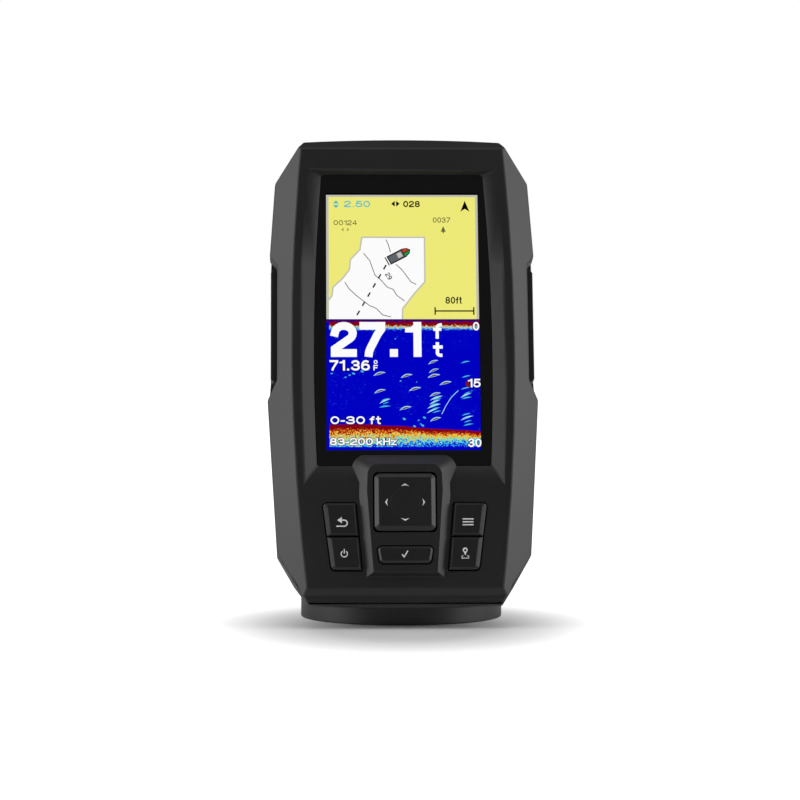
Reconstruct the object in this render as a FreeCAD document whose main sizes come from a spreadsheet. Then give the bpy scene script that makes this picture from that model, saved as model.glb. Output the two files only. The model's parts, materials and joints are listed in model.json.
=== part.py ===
"""Portrait fish finder on a tilt and swivel quick-release mount, as a parametric FreeCAD document.

The row frame is in millimetres: +Z up, the front of the unit towards -Y, and the origin at the centre
of the mounting base's underside, on the swivel axis. The display head is drawn in a frame of its own:
X to the right, Y from the front rim into the depth, Z up along the face. place_on_head() then leans it
back and stands it in front of the swivel axis.
"""
import FreeCAD
import Part
import Sketcher
import os
import re

V = FreeCAD.Vector
doc = FreeCAD.newDocument("fish_finder")

# ---------------------------------------------------------------- driving dimensions
DIMENSIONS = {
    # how the head stands on its mount
    "lean_angle": 15, "head_forward": 50, "head_lift": 9,
    # outline of the front housing, half widths and heights from the chin up
    "chin_half": 34.6, "jaw_half": 45.7, "jaw_height": 19.4, "hip_half": 49.2, "hip_height": 76.5,
    "notch_half": 45.8, "notch_low": 83.2, "notch_high": 126.6, "brow_half": 48.5, "brow_height": 130.4,
    "shoulder_half": 46.6, "shoulder_height": 158.4, "crown_half": 36.2, "crown_height": 172.7,
    "crown_radius": 460, "chin_radius": 500, "parting_depth": 16, "parting_gap": 0.25,
    # bevels of the front face
    "rim_low_half": 33.8, "rim_high_half": 36.27, "rim_low": -4, "rim_high": 178, "rim_radius": 790,
    "rim_reach": 62, "bevel_start": 1, "bevel_end": 13, "top_bevel_height": 169.4,
    "chin_height": 5.6, "cove_depth": 1.5, "cove_height": 3.0, "lip_depth": 0.8, "lip_height": 0.8,
    "underside_start": 3.5, "underside_rise": 8.0,
    # sunk display window
    "recess_top_half": 34.7, "recess_top": 161.2, "recess_low_half": 35.7, "recess_low": 43.9,
    "recess_radius": 931, "lens_level": 2.6, "lens_top_half": 29.6, "lens_top": 159.8,
    "lens_low_half": 31.3, "lens_low": 50.6, "lens_radius": 839,
    "lens_thick": 1.5, "lens_gap": 0.1, "adhesive_thick": 0.2,
    "panel_half": 28.5, "panel_low": 52.8, "panel_top": 154.3, "panel_thick": 2.3, "panel_gap": 0.3,
    # keypad island and keys
    "island_rise": 2.4, "wall_back": 2.4, "key_gap": 0.35, "pad_gap": 0.45,
    "key_rise": 1.2, "select_rise": 3.3, "pad_rise": 3.4, "cap_back": 3.4, "key_corner": 1.8,
    "key_top": 36.5, "key_split": 24.3, "key_low": 12.2, "web_gap": 0.3,
    "key_outer_top": 29.4, "key_outer_low": 26.2, "key_inner_top": 17.6, "key_inner_low": 15.4,
    "pad_half": 11.0, "pad_low": 25.9, "pad_top": 46.9, "pad_corner": 2.0, "pad_centre": 36.4,
    "select_top_half": 10.1, "select_low_half": 9.0, "select_low": 14.2, "select_top": 20.4,
    "cap_chamfer": 0.8, "lip_reach": 0.8, "stem_radius": 1.3, "stem_end": 6.85,
    "rock_stem_end": 7.2, "rock_reach": 8,
    "membrane_front": 4.4, "membrane_thick": 1.0, "membrane_half": 33, "membrane_low": 12.5,
    "membrane_top": 46.2,
    # inside of the front housing
    "cavity_floor": 5.3, "cavity_half": 39.4, "cavity_low": 11, "cavity_top": 166,
    "cavity_low_half": 32, "cavity_side_low": 24, "cavity_side_high": 155, "cavity_top_half": 33.5,
    "gasket_inset": 0.5, "gasket_width": 1.0, "gasket_depth": 1.2,
    "post_half": 35.3, "post_low": 50.5, "post_high": 152, "post_radius": 2.4,
    "board_front": 9.4, "board_thick": 1.6, "board_half": 37.6, "board_low": 16, "board_top": 160,
    "board_corner": 6, "connector_height": 4.4,
    "switch_size": 4.5, "switch_height": 1.2, "switch_button": 1.2, "switch_top": 7.8,
    # rear housing
    "flange_back": 19, "ear_half": 48.1, "ear_front": 10.8, "flange_low": 9.2, "flange_inset": 0.5,
    "bulge_half": 40, "bulge_low": 21, "bulge_top": 160, "back_depth": 32, "back_half": 36,
    "back_low": 27, "back_top": 152, "shell_wall": 2.2,
    "screw_radius": 1.25, "screw_head": 2.4, "screw_tip": 9.8,
    # socket for the power and sonar cable
    "socket_height": 121, "socket_radius": 7.6, "socket_bore": 6.0, "socket_mouth": 43,
    "socket_step": 36.5, "socket_inner": 5.0, "socket_floor": 32.5, "socket_shank": 6.6,
    "socket_tail": 26, "collar_radius": 9.8, "collar_front": 33.6, "collar_back": 35.2,
    "boss_radius": 11.5, "pin_radius": 0.6, "pin_circle": 2.4,
    "vent_across": 27, "vent_height": 136, "vent_radius": 2, "label_half": 15, "label_low": 139,
    "label_top": 149, "beeper_across": 20, "beeper_height": 34, "beeper_radius": 6,
    # quick-release cradle
    "plate_front": 32.3, "plate_back": 36, "plate_half": 20.3, "plate_back_half": 18.0,
    "plate_low": 26, "plate_top": 86, "rail_gap": 0.3, "rail_outer": 26, "rail_back": 36.6, "gusset": 3.8,
    "rail_low": 28, "hinge_depth": 49.5, "hinge_height": 45, "knuckle_radius": 8.5, "knuckle_half": 12.3,
    # tilt bolt and knob
    "bolt_radius": 3, "ear_gap_half": 12.6, "yoke_half": 18, "yoke_radius": 9, "knob_start": 19.3,
    "knob_end": 31, "knob_radius": 11.5, "scallop_radius": 5, "scallop_circle": 14.3,
    # turntable and base
    "base_radius": 37.1, "base_height": 8.5, "base_chamfer": 0.9, "turntable_radius": 24,
    "turntable_low": 8.8, "turntable_top": 12.6, "web_top": 19.5, "web_front": -11, "web_back": 15,
    "ear_front_edge": -5, "nut_pocket": 8.6,
    "swivel_radius": 4, "screw_circle": 30, "mount_hole": 2.3, "mount_bore": 4.3, "mount_bore_floor": 3.2,
}
sheet = doc.addObject("Spreadsheet::Sheet", "dims")
for row, (alias, number) in enumerate(DIMENSIONS.items(), start=1):
    sheet.set(f"A{row}", alias)
    sheet.set(f"B{row}", str(number))
    sheet.setAlias(f"B{row}", alias)
doc.recompute()
calculator = doc.addObject("App::FeaturePython", "calculator")


# ---------------------------------------------------------------- helpers
def formula(text):
    """An expression on the sheet's cells, from plain text that names them."""
    return re.sub(r"[a-z_]+", lambda m: f"dims.{m[0]}" if m[0] in DIMENSIONS else m[0], str(text))


def number_of(text):
    """The value that a formula has now."""
    return float(calculator.evalExpression(formula(text)))


def origin_plane(body, role):
    return next(f for f in body.Origin.OriginFeatures if f.Role == role + "_Plane")


def new_body(name):
    body = doc.addObject("PartDesign::Body", name)
    body.Label = name
    return body


def new_sketch(body, plane, offset):
    """A sketch parallel to one of the body's own planes, at offset along +X, +Y or +Z."""
    sketch = body.newObject("Sketcher::SketchObject", f"{body.Name}_sketch")
    sketch.AttachmentSupport = [(origin_plane(body, plane), "")]
    sketch.MapMode = "FlatFace"
    sign = "-" if plane == "XZ" else ""
    sketch.setExpression("AttachmentOffset.Base.z", formula(f"{sign}({offset})"))
    return sketch


def pin_point(sketch, geometry, point, x, y):
    """Ties a point of the sketch to two formulas, measured from the sketch's origin."""
    for kind, text in (("DistanceX", x), ("DistanceY", y)):
        value = number_of(text)
        index = sketch.addConstraint(Sketcher.Constraint(kind, -1, 1, geometry, point, value))
        sketch.setExpression(f"Constraints[{index}]", formula(text))


def outline(body, plane, offset, corners, arcs=None):
    """A closed outline, anticlockwise. arcs gives some edges a radius, negative to bend inwards."""
    arcs = arcs or {}
    sketch = new_sketch(body, plane, offset)
    points = [V(number_of(x), number_of(y), 0) for x, y in corners]
    for i, start in enumerate(points):
        end = points[(i + 1) % len(points)]
        if i not in arcs:
            sketch.addGeometry(Part.LineSegment(start, end), False)
            continue
        radius = number_of(arcs[i])
        chord = end - start
        outwards = V(chord.y, -chord.x, 0).normalize()
        rise = abs(radius) - (radius ** 2 - chord.Length ** 2 / 4) ** 0.5
        middle = (start + end) / 2 + outwards * (rise if radius > 0 else -rise)
        sketch.addGeometry(Part.Arc(start, middle, end), False)
        index = sketch.addConstraint(Sketcher.Constraint("Radius", i, abs(radius)))
        sketch.setExpression(f"Constraints[{index}]", formula(f"abs({arcs[i]})"))
    for i, (x, y) in enumerate(corners):
        following = (i + 1) % len(points)
        first = end_at(sketch, i, points[i])
        pin_point(sketch, i, first, x, y)
        meeting = (i, 3 - first, following, end_at(sketch, following, points[following]))
        sketch.addConstraint(Sketcher.Constraint("Coincident", *meeting))
    return sketch


def end_at(sketch, geometry, point):
    """1 or 2: which end of a sketch edge lies at the point."""
    return 1 if sketch.getPoint(geometry, 1).distanceToPoint(point) < 1e-6 else 2


def circles(body, plane, offset, centres, radius):
    """A sketch of equal circles."""
    sketch = new_sketch(body, plane, offset)
    for i, (x, y) in enumerate(centres):
        centre = V(number_of(x), number_of(y), 0)
        sketch.addGeometry(Part.Circle(centre, V(0, 0, 1), number_of(radius)), False)
        pin_point(sketch, i, 3, x, y)
        index = sketch.addConstraint(Sketcher.Constraint("Radius", i, number_of(radius)))
        sketch.setExpression(f"Constraints[{index}]", formula(radius))
    return sketch


def feature(body, kind, sketch, length=None, back=False):
    """A pad or pocket. On an XZ sketch a pad runs forwards, and a pocket backwards, unless back is set."""
    before = body.Shape.Volume if not body.Shape.isNull() else 0
    made = body.newObject(f"PartDesign::{kind}", f"{body.Name}_{kind.lower()}")
    made.Profile = sketch
    made.Reversed = back
    made.setExpression("Length", formula(length))
    return built(body, made, before)


def loft(body, kind, first, second):
    """A ruled solid between two sketches: AdditiveLoft or SubtractiveLoft."""
    before = body.Shape.Volume if not body.Shape.isNull() else 0
    made = body.newObject(f"PartDesign::{kind}", f"{body.Name}_loft")
    made.Profile = first
    made.Sections = [second]
    made.Ruled = True
    return built(body, made, before)


def built(body, made, before):
    """Recomputes a new feature, and stops if it left the body's volume as it was."""
    body.Tip = made
    doc.recompute()
    if abs(body.Shape.Volume - before) < 1e-4:
        raise RuntimeError(f"{made.Name} changes nothing")
    return made


def dress(body, kind, size, wanted):
    """A Fillet or Chamfer on the edges of the body's tip for which wanted(edge) is true."""
    base = body.Tip
    names = [f"Edge{i}" for i, edge in enumerate(base.Shape.Edges, start=1) if wanted(edge)]
    before = body.Shape.Volume
    made = body.newObject(f"PartDesign::{kind}", f"{body.Name}_{kind.lower()}")
    made.Base = (base, names)
    made.setExpression("Radius" if kind == "Fillet" else "Size", formula(size))
    return built(body, made, before)


def prism(body, plane, start, end, corners, arcs=None):
    """Adds a block with the given outline between two offsets from the plane."""
    sketch = outline(body, plane, end if plane == "XZ" else start, corners, arcs)
    return feature(body, "Pad", sketch, f"({end}) - ({start})")


def carve(body, plane, start, end, corners, arcs=None):
    """Cuts a block with the given outline between two offsets from the plane."""
    sketch = outline(body, plane, start if plane == "XZ" else end, corners, arcs)
    return feature(body, "Pocket", sketch, f"({end}) - ({start})")


def rods(body, plane, start, end, centres, radius):
    """Adds round rods between two offsets from the plane."""
    sketch = circles(body, plane, end if plane == "XZ" else start, centres, radius)
    return feature(body, "Pad", sketch, f"({end}) - ({start})")


def bores(body, plane, start, end, centres, radius):
    """Cuts round holes between two offsets from the plane."""
    sketch = circles(body, plane, start if plane == "XZ" else end, centres, radius)
    return feature(body, "Pocket", sketch, f"({end}) - ({start})")


def both_sides(right):
    """An outline with mirror symmetry about the vertical axis, from its right half, bottom to top."""
    return right + [(f"-({x})", y) for x, y in reversed(right)]


def mirrored(corners):
    """An outline's mirror image in the vertical axis, still anticlockwise."""
    return [(f"-({x})", y) for x, y in reversed(corners)]


def box(half, low, top):
    return both_sides([(half, low), (half, top)])


def grown(corners, amount):
    """An outline with each corner moved by amount away from its middle, both across and along."""
    middle_x = sum(number_of(x) for x, _ in corners) / len(corners)
    middle_y = sum(number_of(y) for _, y in corners) / len(corners)
    moved = []
    for x, y in corners:
        across = "+" if number_of(x) > middle_x else "-"
        along = "+" if number_of(y) > middle_y else "-"
        moved.append((f"{x} {across} ({amount})", f"{y} {along} ({amount})"))
    return moved


def hexagon(radius, x="0", y="0"):
    """Corners of a hexagon with a corner radius, about a centre."""
    turns = range(30, 390, 60)
    return [(f"{x} + {radius} * cos({turn})", f"{y} + {radius} * sin({turn})") for turn in turns]


def place_on_head(item):
    """Leans a sub-part drawn in the head's frame back, and stands it before the swivel axis."""
    item.Placement = FreeCAD.Placement(V(0, 0, 0), FreeCAD.Rotation(V(1, 0, 0), -1))
    item.setExpression("Placement.Base.y", formula("-head_forward"))
    item.setExpression("Placement.Base.z", formula("head_lift"))
    item.setExpression("Placement.Rotation.Angle", formula("-lean_angle"))


HINGE_Y = "-head_forward + hinge_depth * cos(lean_angle) + hinge_height * sin(lean_angle)"
HINGE_Z = "head_lift + hinge_height * cos(lean_angle) - hinge_depth * sin(lean_angle)"


def place_on_hinge(item):
    """Stands a sub-part drawn about the X axis on the tilt axis."""
    item.setExpression("Placement.Base.y", formula(HINGE_Y))
    item.setExpression("Placement.Base.z", formula(HINGE_Z))


def runs_deep(edge):
    """True for an edge that runs into the depth of the head."""
    tangent = edge.tangentAt(edge.FirstParameter)
    return abs(abs(tangent.y) - 1) < 1e-6


# ---------------------------------------------------------------- outlines that several pieces share
HOUSING_SIDE = [
    ("chin_half", "0.0001"), ("jaw_half", "jaw_height"), ("hip_half", "hip_height"),
    ("notch_half", "notch_low"), ("notch_half", "notch_high"), ("brow_half", "brow_height"),
    ("shoulder_half", "shoulder_height"), ("crown_half", "crown_height"),
]
FLANGE_SIDE = [
    ("jaw_half - 6.35", "flange_low"), ("jaw_half - flange_inset", "jaw_height + flange_inset"),
    ("hip_half - flange_inset", "hip_height"), ("ear_half", "notch_low + 1"),
    ("ear_half", "notch_high - 1"), ("brow_half - flange_inset", "brow_height"),
    ("shoulder_half - flange_inset", "shoulder_height"),
    ("crown_half - flange_inset / 2", "crown_height - flange_inset"),
]
CAVITY_SIDE = [
    ("cavity_low_half", "cavity_low"), ("cavity_half", "cavity_side_low"),
    ("cavity_half", "cavity_side_high"), ("cavity_top_half", "cavity_top"),
]
LENS = [
    ("lens_low_half", "lens_low"), ("lens_top_half", "lens_top"),
    ("-lens_top_half", "lens_top"), ("-lens_low_half", "lens_low"),
]
LENS_ARCS = {0: "lens_radius", 2: "lens_radius"}
SELECT_KEY = both_sides([("select_low_half", "select_low"), ("select_top_half", "select_top")])
ARROW_PAD = box("pad_half", "pad_low", "pad_top")
SLANT = "(key_top - key_low)"
OUTER_MIDDLE = f"key_outer_low + (key_outer_top - key_outer_low) * (key_split - key_low) / {SLANT}"
INNER_MIDDLE = f"key_inner_low + (key_inner_top - key_inner_low) * (key_split - key_low) / {SLANT}"
RIGHT_KEYS = [
    ("key_inner_low", "key_low"), ("key_outer_low", "key_low"),
    ("key_outer_top", "key_top"), ("key_inner_top", "key_top"),
]
UPPER_RIGHT = [
    (INNER_MIDDLE, "key_split + web_gap / 2"), (OUTER_MIDDLE, "key_split + web_gap / 2"),
    ("key_outer_top", "key_top"), ("key_inner_top", "key_top"),
]
LOWER_RIGHT = [
    ("key_inner_low", "key_low"), ("key_outer_low", "key_low"),
    (OUTER_MIDDLE, "key_split - web_gap / 2"), (INNER_MIDDLE, "key_split - web_gap / 2"),
]
STEM_SPOTS = [("-22.4", "30.4"), ("-21.2", "18.2"), ("22.4", "30.4"), ("21.2", "18.2"), ("0.0001", "17.5")]
ROCK_SPOTS = [
    ("0.0001", "pad_centre + rock_reach"), ("0.0001", "pad_centre - rock_reach"),
    ("rock_reach", "pad_centre"), ("-rock_reach", "pad_centre"),
]
SCREW_SIDE = [("40.2", "17.8"), ("43.4", "70"), ("43.0", "134.5"), ("25", "169.6")]
CASE_SCREWS = both_sides(SCREW_SIDE)
POSTS = both_sides([("post_half", "post_low"), ("post_half", "post_high")])
SOCKET = [("0.0001", "socket_height")]
VENT = [("vent_across", "vent_height")]
LABEL = box("label_half", "label_low", "label_top")
BEEPER = [("beeper_across", "beeper_height")]
CENTRE = [("0.0001", "0.0001")]


# ---------------------------------------------------------------- display head: housings
def front_housing():
    """Bezel shell: bevelled sides, sunk display window, keypad island and notched flanks."""
    body = new_body("front_housing")
    sides = both_sides(HOUSING_SIDE)
    top_edge = len(HOUSING_SIDE) - 1
    arcs = {top_edge: "crown_radius", len(sides) - 1: "chin_radius"}
    prism(body, "XZ", 0, "parting_depth", sides, arcs)
    for side in (1, -1):
        bevel_side(body, side)
    carve(body, "YZ", -60, 60, [
        ("-2", "top_bevel_height - 2"), ("12", "top_bevel_height + 12"), ("-2", "top_bevel_height + 12")])
    carve(body, "YZ", -60, 60, [
        ("-2", "-6"), ("lip_depth + 1.6", "-6"), ("lip_depth", "lip_height"),
        ("cove_depth", "cove_height"), ("0.0001", "chin_height"), ("-2", "chin_height")])
    carve(body, "YZ", -60, 60, [
        ("underside_start", "-6"), ("parting_depth + 1", "-6"),
        ("parting_depth + 1", "underside_rise + 0.74"), ("underside_start", "-1.2")])
    sink_window(body)
    raise_island(body)
    hollow(body)
    open_keypad(body)
    place_on_head(body)


def bevel_side(body, side):
    """Cuts one flank's 45 degree bevel, whose front edge is the long curve of the rim."""
    profiles = []
    for depth, reach in (("-bevel_start", "-bevel_start"), ("bevel_end", "bevel_end")):
        corners = [
            (f"rim_low_half + {reach}", "rim_low"), (f"rim_reach + {reach}", "rim_low"),
            (f"rim_reach + {reach}", "rim_high"), (f"rim_high_half + {reach}", "rim_high")]
        if side < 0:
            corners = mirrored(corners)
        profiles.append(outline(body, "XZ", depth, corners, {3: "-rim_radius"}))
    loft(body, "SubtractiveLoft", *profiles)


def sink_window(body):
    """The slopes round the display, the seat of the lens and the opening behind it."""
    recess = [
        ("recess_low_half", "recess_low"), ("recess_top_half", "recess_top"),
        ("-recess_top_half", "recess_top"), ("-recess_low_half", "recess_low")]
    mouth = outline(body, "XZ", 0, recess, {0: "recess_radius", 2: "recess_radius"})
    foot = outline(body, "XZ", "lens_level", LENS, LENS_ARCS)
    loft(body, "SubtractiveLoft", mouth, foot)
    carve(body, "XZ", 0, "lens_level + lens_thick + adhesive_thick + 0.1", LENS, LENS_ARCS)
    window = box("panel_half + panel_gap", "panel_low - panel_gap", "panel_top + panel_gap")
    carve(body, "XZ", 0, "parting_depth", window)


def raise_island(body):
    """The raised surround of the arrow pad, whose sloped sides overlap the foot of the window."""
    top = both_sides([("11.4", "11"), ("13.55", "40"), ("13.3", "46.6"), ("10", "50.4")])
    root = both_sides([("16.2", "8.5"), ("19.4", "40"), ("18.7", "50.4"), ("15", "54.7")])
    crest = outline(body, "XZ", "-island_rise", top, {2: "4.2", 4: "4.2"})
    base = outline(body, "XZ", "lens_level", root, {2: "5", 4: "5"})
    loft(body, "AdditiveLoft", crest, base)


def hollow(body):
    """The room for the electronics, the gasket groove, the board posts and the screw holes."""
    carve(body, "XZ", "cavity_floor", "parting_depth", both_sides(CAVITY_SIDE))
    carve(body, "XZ", "wall_back", "parting_depth", box("membrane_half + 1", "membrane_low - 1.7", "46.5"))
    rods(body, "XZ", "cavity_floor - 0.2", "board_front - 0.05", POSTS, "post_radius")
    bores(body, "XZ", "cavity_floor + 1", "board_front", POSTS, "screw_radius - 0.2")
    bores(body, "XZ", "screw_tip - 0.5", "parting_depth", CASE_SCREWS, "screw_radius + 0.05")
    groove = outline(body, "XZ", "parting_depth - gasket_depth",
                     grown(both_sides(CAVITY_SIDE), "gasket_inset + gasket_width + 0.1"))
    feature(body, "Pocket", groove, "gasket_depth")
    inner = grown(both_sides(CAVITY_SIDE), "gasket_inset - 0.1")
    prism(body, "XZ", "parting_depth - gasket_depth", "parting_depth", inner)
    carve(body, "XZ", "cavity_floor + 3", "parting_depth", both_sides(CAVITY_SIDE))


def open_keypad(body):
    """The openings for the arrow pad, the select key and the two pairs of side keys."""
    front = "-island_rise - 1"
    carve(body, "XZ", front, "parting_depth", grown(ARROW_PAD, "pad_gap"))
    for keys in (SELECT_KEY, RIGHT_KEYS, mirrored(RIGHT_KEYS)):
        carve(body, "XZ", front, "parting_depth", grown(keys, "key_gap"))

    def is_corner(edge):
        return runs_deep(edge) and key_corner_at(edge.CenterOfMass)
    dress(body, "Fillet", "key_corner", is_corner)


def key_corner_at(point):
    """True at the rounded corners of the arrow pad's, the select key's and the side keys' openings."""
    x, z = abs(point.x), point.z
    on_pad = abs(x - number_of("pad_half + pad_gap")) < 0.1 and 25 < z < 48
    on_select = 8.5 < x < 11 and 13.4 < z < 21.5
    on_outer = x > 26 and 11.5 < z < 37.2 and x < 30
    return (on_pad or on_select or on_outer) and point.y < 2.4


def rear_housing():
    """Rear shell: screw flange, ears in the front's notches, tapered bulge, cradle rails, socket boss."""
    body = new_body("rear_housing")
    front = "parting_depth + parting_gap"
    sides = both_sides(FLANGE_SIDE)
    prism(body, "XZ", front, "flange_back", sides, {len(FLANGE_SIDE) - 1: "crown_radius"})
    bulge = both_sides([
        ("bulge_half - 6", "bulge_low"), ("bulge_half", "bulge_low + 9"),
        ("bulge_half", "bulge_top - 9"), ("bulge_half - 6", "bulge_top")])
    back = both_sides([
        ("back_half - 6", "back_low"), ("back_half", "back_low + 8"),
        ("back_half", "back_top - 8"), ("back_half - 6", "back_top")])
    loft(body, "AdditiveLoft", outline(body, "XZ", "flange_back", bulge),
         outline(body, "XZ", "back_depth", back))
    rods(body, "XZ", "back_depth", "back_depth + 0.9", SOCKET, "boss_radius")
    room = outline(body, "XZ", front, grown(bulge, "-shell_wall"))
    room_floor = outline(body, "XZ", "back_depth - shell_wall", grown(back, "-shell_wall"))
    loft(body, "SubtractiveLoft", room, room_floor)
    add_ears(body)
    add_rails(body)
    bores(body, "XZ", front, "flange_back", CASE_SCREWS, "screw_radius + 0.15")
    bores(body, "XZ", "back_depth - 5", "back_depth + 1", SOCKET, "socket_shank + 0.1")
    bores(body, "XZ", "back_depth - 5", "back_depth + 1", VENT, "vent_radius + 0.1")
    carve(body, "XZ", "back_depth - 0.25", "back_depth", grown(LABEL, "0.2"))
    place_on_head(body)


def add_ears(body):
    """The ears that fill the notches in the flanks of the front housing."""
    ear = [
        ("notch_half + 0.2", "notch_low + 0.4"), ("ear_half - 1.2", "notch_low + 0.4"),
        ("ear_half", "notch_low + 1.6"), ("ear_half", "notch_high - 1.6"),
        ("ear_half - 1.2", "notch_high - 0.4"), ("notch_half + 0.2", "notch_high - 0.4")]
    for corners in (ear, mirrored(ear)):
        prism(body, "XZ", "ear_front", "parting_depth + parting_gap + 1", corners)


def add_rails(body):
    """Two dovetail rails that grip the cradle plate, and the stop that rests on its top edge."""
    foot = "plate_half + rail_gap + 0.35"
    lip = "plate_back_half + rail_gap - 0.35"
    rail = [
        (foot, "back_depth - 0.2"), ("rail_outer + 1", "back_depth - 0.2"),
        ("rail_outer", "rail_back"), (lip, "rail_back")]
    for corners in (rail, mirrored(rail)):
        prism(body, "XY", "rail_low", "plate_top + 4", corners)
    stop = box("rail_outer - 1", "plate_top + 0.05", "plate_top + 4")
    prism(body, "XZ", "back_depth - 0.2", "rail_back", stop)


def case_gasket():
    """Rubber seal squeezed between the two housings."""
    body = new_body("case_gasket")
    start = "parting_depth - gasket_depth + 0.05"
    end = "parting_depth + parting_gap - 0.02"
    prism(body, "XZ", start, end, grown(both_sides(CAVITY_SIDE), "gasket_inset + gasket_width"))
    carve(body, "XZ", "parting_depth - gasket_depth", "parting_depth + 1",
          grown(both_sides(CAVITY_SIDE), "gasket_inset"))
    place_on_head(body)


def case_screws():
    """Eight pan-head screws driven from behind through the rear flange."""
    body = new_body("case_screws")
    rods(body, "XZ", "screw_tip", "flange_back + 0.1", CASE_SCREWS, "screw_radius")
    rods(body, "XZ", "flange_back + 0.05", "flange_back + 1.7", CASE_SCREWS, "screw_head")
    for x, z in CASE_SCREWS:
        carve(body, "XZ", "flange_back + 0.8", "flange_back + 2", hexagon("1.3", x, z))
    place_on_head(body)


# ---------------------------------------------------------------- display head: window and electronics
def display_lens():
    """Cover window with a black border, bonded into its seat."""
    body = new_body("display_lens")
    corners = grown(LENS, "-lens_gap")
    prism(body, "XZ", "lens_level + 0.05", "lens_level + lens_thick", corners, LENS_ARCS)
    place_on_head(body)


def lens_adhesive():
    """Bonding frame between the lens and its ledge."""
    body = new_body("lens_adhesive")
    start = "lens_level + lens_thick + 0.02"
    end = "lens_level + lens_thick + adhesive_thick"
    prism(body, "XZ", start, end, box("lens_top_half - 0.4", "panel_low - 0.6", "lens_top - 0.6"))
    carve(body, "XZ", start, end, box("panel_half - 0.2", "panel_low + 0.3", "panel_top - 0.2"))
    place_on_head(body)


def lcd_panel():
    """Display module, raised through the opening to lie right behind the lens."""
    body = new_body("lcd_panel")
    start = "lens_level + lens_thick + adhesive_thick + 0.05"
    prism(body, "XZ", start, f"{start} + panel_thick", box("panel_half", "panel_low + 3.4", "panel_top"))
    place_on_head(body)


def lcd_frame():
    """Sheet-metal carrier that presses the display module forwards."""
    body = new_body("lcd_frame")
    start = "lens_level + lens_thick + adhesive_thick + 0.1 + panel_thick"
    prism(body, "XZ", start, f"{start} + 0.6", box("31.5", "51", "157"))
    carve(body, "XZ", start, f"{start} + 0.6", box("22", "62", "98"))
    carve(body, "XZ", start, f"{start} + 0.6", box("22", "104", "146"))
    place_on_head(body)


def main_board():
    """Circuit board for the display, the sonar and the keys."""
    body = new_body("main_board")
    back = "board_front + board_thick"
    prism(body, "XZ", "board_front", back, box("board_half", "board_low", "board_top"))
    dress(body, "Chamfer", "board_corner", runs_deep)
    bores(body, "XZ", "board_front", back, POSTS, "screw_radius")
    place_on_head(body)


def board_screws():
    """Four screws that hold the board on its posts."""
    body = new_body("board_screws")
    back = "board_front + board_thick"
    rods(body, "XZ", "board_front - 2.6", f"{back} + 0.1", POSTS, "screw_radius - 0.25")
    rods(body, "XZ", f"{back} + 0.02", f"{back} + 1.3", POSTS, "screw_head - 0.3")
    place_on_head(body)


def tactile_switches():
    """Nine key switches: five under the keys and four under the arrow pad's edges."""
    body = new_body("tactile_switches")
    for x, z in STEM_SPOTS + ROCK_SPOTS:
        left, right = f"{x} - switch_size / 2", f"{x} + switch_size / 2"
        low, high = f"{z} - switch_size / 2", f"{z} + switch_size / 2"
        square = [(left, low), (right, low), (right, high), (left, high)]
        prism(body, "XZ", "board_front - switch_height", "board_front - 0.01", square)
    root = "board_front - switch_height + 0.1"
    rods(body, "XZ", "switch_top", root, STEM_SPOTS + ROCK_SPOTS, "switch_button")
    place_on_head(body)


def board_part(name, half, low, top, height, centre="0"):
    """A boxy component soldered to the back of the board."""
    body = new_body(name)
    back = "board_front + board_thick + 0.01"
    corners = [
        (f"{centre} - {half}", low), (f"{centre} + {half}", low),
        (f"{centre} + {half}", top), (f"{centre} - {half}", top)]
    prism(body, "XZ", back, f"{back} + {height}", corners)
    place_on_head(body)
    return body


def beeper():
    """Round piezo sounder on the board."""
    body = new_body("beeper")
    back = "board_front + board_thick + 0.01"
    rods(body, "XZ", back, f"{back} + 4.5", BEEPER, "beeper_radius")
    bores(body, "XZ", f"{back} + 3.5", f"{back} + 4.5", BEEPER, "beeper_radius / 5")
    place_on_head(body)


def keypad_membrane():
    """Silicone sheet behind the keys, with a hole for each stem and the arrow pad's rocker post."""
    body = new_body("keypad_membrane")
    back = "membrane_front + membrane_thick"
    prism(body, "XZ", "membrane_front", back, box("membrane_half", "membrane_low", "membrane_top"))
    bores(body, "XZ", "membrane_front", back, STEM_SPOTS + ROCK_SPOTS, "stem_radius + 0.6")
    rods(body, "XZ", f"{back} - 0.2", "board_front - 0.4", [("0.0001", "pad_centre")], "2.4")
    place_on_head(body)


# ---------------------------------------------------------------- display head: keys
def cap(name, corners, rise, spot):
    """A key cap: chamfered crown, a lip that holds it behind the wall, and a stem for its switch."""
    body = new_body(name)
    prism(body, "XZ", f"-{rise}", "cap_back", corners)
    dress(body, "Fillet", "key_corner - 0.3", outer_corner)
    crown = -number_of(rise)
    dress(body, "Chamfer", "cap_chamfer", lambda edge: all(abs(v.Y - crown) < 1e-4 for v in edge.Vertexes))
    lip = [(x, was_y if "key_split" in was_y else y) for (x, y), (_, was_y) in zip(
        grown(corners, "lip_reach"), corners)]
    prism(body, "XZ", "wall_back + 0.2", "cap_back", lip)
    rods(body, "XZ", "cap_back - 0.2", "stem_end", [spot], "stem_radius")
    place_on_head(body)


def outer_corner(edge):
    """The corners of a cap that are rounded: all of the select key's, the outer ones of a side key."""
    x, z = abs(edge.CenterOfMass.x), edge.CenterOfMass.z
    far_end = abs(z - number_of("key_split")) > 5
    return runs_deep(edge) and (x < 12 or (x > 24 and far_end))


def arrow_pad_pivot():
    """Rocker disc under the arrow pad, which lets it tip up and down."""
    body = new_body("arrow_pad_pivot")
    rods(body, "XZ", "2.6", "3.8", [("0.0001", "pad_centre")], "4")
    rods(body, "XZ", "3.7", "membrane_front - 0.1", [("0.0001", "pad_centre")], "1.2")
    place_on_head(body)


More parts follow.
